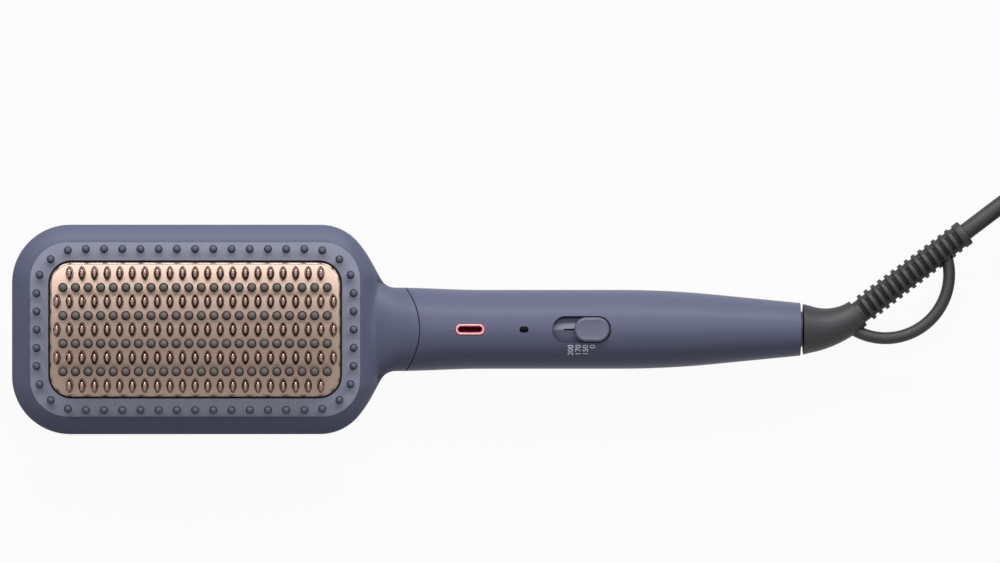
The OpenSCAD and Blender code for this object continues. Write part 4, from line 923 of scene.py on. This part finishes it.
def plate_body():
    """The crowned plate with its rounded rim."""
    half_x, half_y, r = plan(PLATE_L, PLATE_W, PLATE_R)
    rings = [(half_x, half_y, r - drawn, z) for drawn, z in PLATE_RIM]
    bm = loft_rounds(bmesh.new(), rings, (0, 0), segments=10)
    for y in CROWN_CUTS:
        bmesh.ops.bisect_plane(bm, geom=bm.faces[:] + bm.edges[:] + bm.verts[:],
                               plane_co=(0, y, 0), plane_no=(0, 1, 0))
    for v in bm.verts:
        if v.co.z > PLATE_EDGE_Z - CROWN_FROM:
            v.co.z += crown_z(v.co.y) - PLATE_EDGE_Z
    return bm


class BRUSH_OT_plate(bpy.types.Operator):
    """Builds the heating plate with its fins"""
    bl_idname = "brush.plate"
    bl_label = "Heating plate"

    def execute(self, context):
        gold = finish("rose_gold_coat", colours().plate, 0.26, metal=0.95, grain=0.02, grain_mm=0.4,
                      mottle=0.05, mottle_mm=4.0, coat=0.8, coat_rough=0.28)
        finished("hot_plate", plate_body(), gold, smooth=38, replaces=["heating_plate"])
        # The fins get a darker copy of the plate's coating: painted shade for their darker look.
        shaded_fin_coat = finish("fin_coat_painted_shade", colours().fins, 0.17, metal=0.95, grain=0.02, mottle=0.04, mottle_mm=5.0,
                        coat=1.0, coat_rough=0.14, coat_ior=1.8)
        bm = bmesh.new()
        for row in range(-FIN_ROWS, FIN_ROWS + 1):
            columns = FIN_HALF - (abs(row) == FIN_ROWS)
            planted(bm, fin(row * ROW), [(i * COLUMN, 0) for i in range(-columns, columns + 1)])
        finished("hot_fins", bm, shaded_fin_coat, smooth=38)
        return {"FINISHED"}


def ball_painted_shade(colour, height, ball_d):
    """Painted shade for balls that stand so high over the panel: a darker colour on their flank, with the
    heights where it gives way.
    """
    top = HEAD_T + height
    return colour, top - ball_d * SHADE_FROM, top - ball_d * SHADE_TO


def grown(shape, d):
    """A rounded plan made larger all round."""
    return shape[0], shape[1], shape[2] + d


class BRUSH_OT_pins(bpy.types.Operator):
    """Builds the pin panel, the ring pins and the cool pins"""
    bl_idname = "brush.pins"
    bl_label = "Pins"

    def execute(self, context):
        gap = plan(PLATE_L + 2 * PLATE_GAP, PLATE_W + 2 * PLATE_GAP, PLATE_R + PLATE_GAP)
        self.panel(finish("panel_grained", colours().panel, 0.5, grain=0.6, grain_mm=0.5, mottle=0.12,
                          mottle_mm=0.9), gap)
        # Ring and cool pins get painted shade: near-black flanks under lighter tips.
        self.ring_pins(finish("ring_pin_satin_painted_shade", colours().ring_pin, 0.3, grain=0.04, mottle=0.03,
                              specular=0.16, flank=ball_painted_shade(linear(18, 18, 30), RING_H, RING_BALL_D)), gap)
        self.cool_pins(finish("cool_pin_satin_painted_shade", colours().cool_pin, 0.34, grain=0.06, grain_mm=0.5,
                              mottle=0.1, mottle_mm=3.0, specular=0.12,
                              flank=ball_painted_shade(linear(16, 14, 14), COOL_H, COOL_BALL_D)))
        return {"FINISHED"}

    def panel(self, mat, gap):
        """The grained panel, a flat frame round the plate."""
        outer, low = plan(FRAME_HIGH.x * 2, FRAME_HIGH.y * 2, FRAME_R), FRAME_LOW.z
        rings = [(*outer, low), (*outer, HEAD_T - PANEL_EDGE_OUT), (*grown(outer, -PANEL_EDGE_OUT), HEAD_T),
                 (*grown(gap, PANEL_EDGE_IN), HEAD_T), (*gap, HEAD_T - PANEL_EDGE_IN), (*gap, low)]
        bm = loft_rounds(bmesh.new(), rings, (0, 0), segments=16, close=True)
        finished("pin_panel", bm, mat, replaces=["pin_frame"])

    def ring_pins(self, mat, gap):
        """The pins round the plate on their seat under the panel."""
        bm, low = bmesh.new(), FRAME_LOW.z
        ball_pins(bm, RING_SPOTS, low - RING_FOOT, HEAD_T + RING_H, RING_STEM_D, RING_BALL_D)
        seat = plan((FRAME_HIGH.x - SEAT_INSET) * 2, (FRAME_HIGH.y - SEAT_INSET) * 2, FRAME_R - SEAT_INSET)
        rings = [(*seat, PLATE_FOOT_Z), (*seat, low), (*gap, low), (*gap, PLATE_FOOT_Z)]
        loft_rounds(bm, rings, (0, 0), segments=12, close=True)
        finished("ring_pin_set", bm, mat, replaces=["ring_pins"])

    def cool_pins(self, mat):
        """The pins between the fins on their strips under the plate."""
        bm = bmesh.new()
        ball_pins(bm, COOL_SPOTS, PLATE_FOOT_Z - COOL_FOOT, HEAD_T + COOL_H, COOL_STEM_D, COOL_BALL_D)
        shape = plan((COOL_SPOTS[-1][0] + COOL_STEM_D) * 2, STRIP_W, STRIP_R)
        for y in STRIP_ROWS:
            loft_rounds(bm, [(*shape, PLATE_FOOT_Z - STRIP_T), (*shape, PLATE_FOOT_Z)], (0, y), segments=3)
        finished("cool_pin_set", bm, mat, replaces=["cool_pin_strips"])


# Controls

LABELS = (("200", 138.4), ("170", 141.2), ("150", 143.9), ("0", 146.5))
LABEL_END_Y, LETTER_SPACING, PRINT_H = -5.7, 0.92, 0.05
WELL_R, WELL_FIT, WELL_LONGER, RIDGE_H, SLOT_HALF, SLOT_HALF_W = 6.5, 0.1, 4, 1.8, 6.6, 0.28
FLANGE_W, FLANGE_T, SEAT_GAP, OUTLET_PROUD = 1.2, 1.0, 0.4, 0.2
BUTTON_FOOT, STEM_L, STEM_W, STEM_R, STEM_INTO = 0.15, 4, 0.36, 0.15, 0.3
# Edges as (drawn in, over the top)
OUTLET_EDGE = ((0, -0.3), (0.09, -0.09), (0.3, 0), (0.5, 0), (0.71, -0.09), (0.8, -0.3))
THROAT_EDGE = ((0.75, -0.35), (1.15, -1.1))
LENS_EDGE = ((0, -0.3), (0.1, -0.1), (0.35, 0))
BUTTON_EDGE = ((0, -0.75), (0.08, -0.5), (0.55, -0.08), (0.75, 0), (0.95, -0.03), (1.4, -0.07), (2.4, -0.1))


def edged(r, z, edge):
    """Rings of (radius, height) for an edge: each point is drawn in from r and lies over z."""
    return [(r - drawn, z + over) for drawn, over in edge]


def pill(core, rings, x, segments=8, close=False):
    """A body at x with round ends: each ring is the radius of its ends and its height."""
    return loft_rounds(bmesh.new(), [(core, 0, *ring) for ring in rings], (x, 0), segments, close=close)


def seat_z(half):
    """Height just under the handle's inner face, for a seat of half this width."""
    return AXIS_Z + math.sqrt((GRIP_R - WALL) ** 2 - half ** 2) - SEAT_GAP


def label(text, x, mat):
    """A printed number that reads upwards beside the switch, laid on the round of the handle."""
    curve = bpy.data.curves.new("print", "FONT")
    curve.body = text
    curve.align_x = "RIGHT"
    curve.resolution_u = 4
    curve.space_character = LETTER_SPACING
    flat = placed("print", curve)
    graph = bpy.context.evaluated_depsgraph_get()
    mesh = bpy.data.meshes.new_from_object(flat.evaluated_get(graph))
    bpy.data.objects.remove(flat)
    bpy.data.curves.remove(curve)
    high = max(v.co.y for v in mesh.vertices)
    low = min(v.co.y for v in mesh.vertices)
    scale = sizes().digit_h / (high - low)
    right = max(v.co.x for v in mesh.vertices)
    bm = bmesh.new()
    bm.from_mesh(mesh)
    bpy.data.meshes.remove(mesh)
    for v in bm.verts:
        across = x + sizes().digit_h / 2 - (v.co.y - low) * scale
        along = LABEL_END_Y - (right - v.co.x) * scale
        v.co = Vector((across, along, AXIS_Z + math.sqrt(GRIP_R ** 2 - along ** 2) + PRINT_H))
    bmesh.ops.reverse_faces(bm, faces=[f for f in bm.faces if f.normal.z < 0])
    return finished("number_" + text, bm, mat)


class BRUSH_OT_controls(bpy.types.Operator):
    """Builds the ion outlet, the indicator, the slide switch and its numbers"""
    bl_idname = "brush.controls"
    bl_label = "Controls"

    def execute(self, context):
        self.outlet(finish("outlet_rim_gloss", colours().outlet, 0.18, grain=0.01, mottle=0.02, coat=0.4),
                    finish("outlet_throat_red", linear(170, 52, 66), 0.4))
        coat_nodes(["ion_emitter"], finish("outlet_dark_red", linear(60, 3, 8), 0.6, specular=0.1))
        self.lens(finish("indicator_gloss", linear(6, 6, 14), 0.2, grain=0.0, mottle=0.02, specular=0.05))
        self.button(finish("button_satin", linear(90, 91, 112), 0.36, grain=0.04, grain_mm=0.3, mottle=0.03))
        self.well(finish("well_satin", colours().shell, 0.4, grain=0.05, mottle=0.03))
        ink = finish("number_print", linear(240, 242, 248), 0.5, mottle=0.02)
        for text, x in LABELS:
            label(text, x, ink)
        return {"FINISHED"}

    def outlet(self, gloss, red):
        """The rim of the ion outlet and the darker step inside it."""
        core, r = (OUTLET_L - OUTLET_W) / 2, OUTLET_W / 2
        flange, top = seat_z(r + FLANGE_W), GRIP_TOP + OUTLET_PROUD
        low = flange - FLANGE_T
        rim = edged(r, top, OUTLET_EDGE)
        rings = [(r + FLANGE_W, low), (r + FLANGE_W, flange), (r, flange), *rim, (rim[-1][0], low)]
        finished("outlet_rim", pill(core, rings, OUTLET_X, close=True), gloss, smooth=50,
                 replaces=["ion_outlet_bezel"])
        step = edged(r, top, THROAT_EDGE)
        step += [(radius, low) for radius, _ in reversed(step)]
        finished("outlet_throat", pill(core, step, OUTLET_X, close=True), red)

    def lens(self, mat):
        """The indicator's lens with the flange that holds it from inside."""
        core, r = (LAMP_L - LAMP_W) / 2, LAMP_W / 2
        flange = seat_z(r + FLANGE_W)
        low, high = node_box("indicator_lens")
        rings = [(r, low.z), (r, flange - FLANGE_T), (r + FLANGE_W, flange - FLANGE_T),
                 (r + FLANGE_W, flange), (r, flange), *edged(r, high.z, LENS_EDGE)]
        finished("indicator_window", pill(core, rings, LAMP_X), mat, smooth=50,
                 replaces=["indicator_lens"])

    def button(self, mat):
        """The slide button with its rounded edge, slightly hollow top and narrow stem."""
        length, width = BUTTON_HIGH.x - BUTTON_LOW.x, BUTTON_HIGH.y - BUTTON_LOW.y
        x, foot = (BUTTON_LOW.x + BUTTON_HIGH.x) / 2, FLOOR_Z + BUTTON_FOOT
        rings = [(width / 2, foot), *edged(width / 2, BUTTON_HIGH.z, BUTTON_EDGE)]
        bm = pill((length - width) / 2, rings, x, 12)
        stem = plan(STEM_L, STEM_W, STEM_R)
        loft_rounds(bm, [(*stem, BUTTON_LOW.z), (*stem, foot + STEM_INTO)], (x, 0), 3)
        finished("heat_button", bm, mat, "switch", smooth=40, replaces=["slide_button"])

    def well(self, mat):
        """The floor of the switch recess, slightly ridged along its middle, with the stem's slot."""
        low, top = node_box("switch_well")[0].z, seat_z(WELL_R)
        core, r = (RECESS_L - RECESS_W) / 2, RECESS_W / 2 - WELL_FIT
        wide, slot = (RECESS_L + WELL_LONGER) / 2 - WELL_R, SLOT_HALF - SLOT_HALF_W
        rings = [(wide, 0, WELL_R, low), (wide, 0, WELL_R, top), (core, 0, r, top),
                 (core, 0, r, FLOOR_Z - RIDGE_H), (slot, 0, SLOT_HALF_W, FLOOR_Z),
                 (slot, 0, SLOT_HALF_W, low)]
        bm = loft_rounds(bmesh.new(), rings, (SWITCH_X, 0), 12, close=True)
        for v in bm.verts:
            if abs(v.co.z - FLOOR_Z + RIDGE_H) < 0.01:
                slope = (abs(v.co.y) - SLOT_HALF_W) / (r - SLOT_HALF_W)
                v.co.z = FLOOR_Z - RIDGE_H * min(1, max(0, slope))
        finished("switch_floor", bm, mat, smooth=8, replaces=["switch_well"])


# Boot

LOOP_R, LOOP_TUBE_R = 23.6, 2.25
LOOP_CENTRE = SLEEVE_START + Vector((10.2, 14.4, 0))
LOOP_FROM, LOOP_SWEEP = math.radians(-122), math.radians(139)
FACE_ROUND, FACE_CUTS, FOOT_STEPS = 0.4, (0, 0.06, 0.16, 0.3, 0.5), 36
CORE_R, CORE_END, SLEEVE_ROOT, RIB_LEAD, SLOT_SIDE = SLOT_R + 0.1, SLEEVE_L - 1, 1, 0.2, 0.1
# Edges of a rib and of the collar as (drawn in, further along)
RIB_RISE, RIB_FALL = ((0.3, 0.05), (0.08, 0.13), (0, 0.35)), ((0, -0.3), (0.08, -0.08), (0.3, 0))
COLLAR_RISE, COLLAR_FALL = ((0.15, 0.05), (0, 0.3)), ((0, -0.4), (0.12, -0.1), (0.4, 0))


class BRUSH_OT_boot(bpy.types.Operator):
    """Builds the strain relief with its ribs and hang loop, and the swivel neck"""
    bl_idname = "brush.boot"
    bl_label = "Strain relief"

    def execute(self, context):
        bm = bmesh.new()
        self.foot(bm)
        self.sleeve(bm)
        self.loop(bm)
        finished("strain_relief", bm, rubber("boot_rubber", colours().cord, 0.5), "swivel", smooth=50,
                 replaces=["strain_relief_boot"])
        # A near-black core inside the sleeve: painted shade for the dark depth of the slots between the ribs.
        core = bmesh.new()
        profile = [(AXIS_R, RIB_START), (CORE_R, RIB_START), (CORE_R, CORE_END), (AXIS_R, CORE_END)]
        revolved(core, profile, SLEEVE_PLACE, 24)
        finished("slot_shade_core", core, rubber("slot_painted_shade", linear(16, 16, 18), 0.8), "swivel")
        coat_nodes(["swivel_rotor"], finish("rotor_plastic", linear(40, 40, 44), 0.4))
        return {"FINISHED"}

    def foot(self, bm):
        """The bent foot: a circle swept round the bend while it narrows."""
        length = BOOT_FOOT_L + BOOT_BEND_R * BOOT_ANGLE

        def place(s, spot):
            a = max(0, s - BOOT_FOOT_L) / BOOT_BEND_R
            centre = Vector((BOOT_X + min(s, BOOT_FOOT_L) + BOOT_BEND_R * math.sin(a),
                             BOOT_BEND_R * (1 - math.cos(a)), AXIS_Z))
            r = mix(BOOT_NECK_R, BOOT_R, (1 - s / length) ** BOOT_TAPER) - drop_at(s - FACE_BACK, FACE_ROUND)
            return centre + r * (spot.x * Vector((-math.sin(a), math.cos(a), 0)) + spot.y * Vector((0, 0, 1)))
        levels = [FACE_BACK + cut for cut in FACE_CUTS]
        swept(bm, 40, levels + stretch(levels[-1], length, FOOT_STEPS), place)

    def sleeve(self, bm):
        """The ribbed sleeve, revolved about the cord."""
        profile = [(AXIS_R, -SLEEVE_ROOT), (SLEEVE_R, -SLEEVE_ROOT), (SLEEVE_R, RIB_START - SLOT_SIDE),
                   (SLEEVE_R, RIB_START + RIB_LEAD)]
        for i in range(RIBS):
            z = RIB_START + RIB_SHIFT + i * RIB_PITCH
            r = mix(RIB_R, COLLAR_R + RIB_OVER, i / (RIBS - 1))
            profile += [(SLEEVE_R, z), *edged(r, z, RIB_RISE), *edged(r, z + RIB_W, RIB_FALL),
                        (SLEEVE_R, z + RIB_W + RIB_SIDE)]
        collar = SLEEVE_L - COLLAR_L
        profile += [(SLEEVE_R, collar), *edged(COLLAR_R, collar, COLLAR_RISE),
                    *edged(COLLAR_R, SLEEVE_L, COLLAR_FALL), (AXIS_R, SLEEVE_L)]
        part = bmesh.new()
        revolved(part, profile, Matrix.Identity(4), 40)
        for v in part.verts:
            r = math.hypot(v.co.x, v.co.y)
            if abs(r - SLEEVE_R) < 0.01 and RIB_START < v.co.z < collar + SLOT_SIDE:
                share = mix(SLOT_R, SLEEVE_R, abs(v.co.y / r) ** WEB_TURN) / r
                v.co.x, v.co.y = v.co.x * share, v.co.y * share
        bmesh.ops.transform(part, matrix=SLEEVE_PLACE, verts=part.verts)
        planted(bm, part)

    def loop(self, bm):
        """The hang loop: a round bar spun about the loop's middle."""
        made = bmesh.ops.create_circle(bm, cap_ends=True, segments=20, radius=LOOP_TUBE_R)["verts"]
        turn = (Matrix.Translation(LOOP_CENTRE) @ Matrix.Rotation(LOOP_FROM, 4, "Z")
                @ Matrix.Translation((LOOP_R, 0, 0)) @ Matrix.Rotation(math.pi / 2, 4, "X"))
        bmesh.ops.transform(bm, matrix=turn, verts=made)
        faces = list({f for v in made for f in v.link_faces})
        bmesh.ops.spin(bm, geom=faces, cent=LOOP_CENTRE, axis=(0, 0, 1), angle=LOOP_SWEEP, steps=48)


# Inside

# CAD nodes, then the name, colour and roughness of their finish and its other values
INSIDE = (
    (("carrier_screws", "heater_clamp", "clamp_screws", "board_screws", "detent_spring", "thermal_fuse"),
     "plain_steel", (190, 192, 196), 0.3, {"metal": 1.0, "grain": 0.05}),
    (("inner_carrier", "temperature_sensor", "board_components", "ion_generator", "switch_lever",
      "slide_switch", "switch_carriage"), "black_moulding", (26, 26, 30), 0.55, {}),
    (("swivel_bush",), "ivory_moulding", (226, 224, 216), 0.45, {}),
    (("slip_rings", "contact_brushes"), "bright_brass", (214, 180, 104), 0.28, {"metal": 1.0}),
    (("heater_elements",), "heater_wrap", (214, 150, 70), 0.3, {"coat": 0.3}),
    (("heat_shield",), "mica_sheet", (196, 184, 146), 0.35, {"mottle": 0.15, "mottle_mm": 3}),
    (("heater_leads",), "red_lead", (190, 50, 40), 0.5, {}),
    (("mains_leads",), "blue_lead", (50, 90, 180), 0.5, {}),
    (("circuit_board",), "board_laminate", (28, 96, 52), 0.35, {"mottle": 0.1, "mottle_mm": 1}),
    (("indicator_lamp",), "lamp_body", (232, 232, 220), 0.15, {}),
    (("brush_holder",), "brown_laminate", (150, 84, 56), 0.5, {}),
)


class BRUSH_OT_inside(bpy.types.Operator):
    """Gives the pieces inside the head and handle their finishes"""
    bl_idname = "brush.inside"
    bl_label = "Inner pieces"

    def execute(self, context):
        for nodes, name, colour, rough, others in INSIDE:
            coat_nodes(nodes, finish(name, linear(*colour), rough, **others))
        return {"FINISHED"}


class BRUSH_PT_panel(bpy.types.Panel):
    """Sidebar panel with the brush's sizes, colours and pieces"""
    bl_label = "Straightening brush"
    bl_idname = "BRUSH_PT_panel"
    bl_space_type = "VIEW_3D"
    bl_region_type = "UI"
    bl_category = "Brush"

    def draw(self, context):
        layout = self.layout
        for group in (context.scene.brush_sizes, context.scene.brush_colours):
            box = layout.box()
            for name in group.bl_rna.properties.keys():
                if name not in ("rna_type", "name"):
                    box.prop(group, name)
        for operator in OPERATORS:
            layout.operator(operator.bl_idname)


OPERATORS = (BRUSH_OT_stage, BRUSH_OT_cord, BRUSH_OT_shells, BRUSH_OT_plate, BRUSH_OT_pins, BRUSH_OT_controls,
             BRUSH_OT_boot, BRUSH_OT_inside)
CLASSES = (BrushColours, BrushSizes, *OPERATORS, BRUSH_PT_panel)


def register():
    for cls in CLASSES:
        bpy.utils.register_class(cls)
    bpy.types.Scene.brush_colours = PointerProperty(type=BrushColours)
    bpy.types.Scene.brush_sizes = PointerProperty(type=BrushSizes)


def unregister():
    del bpy.types.Scene.brush_sizes
    del bpy.types.Scene.brush_colours
    for cls in reversed(CLASSES):
        bpy.utils.unregister_class(cls)


def main():
    register()
    for operator in OPERATORS:
        group, name = operator.bl_idname.split(".")
        getattr(getattr(bpy.ops, group), name)()


if __name__ == "__main__":
    main()
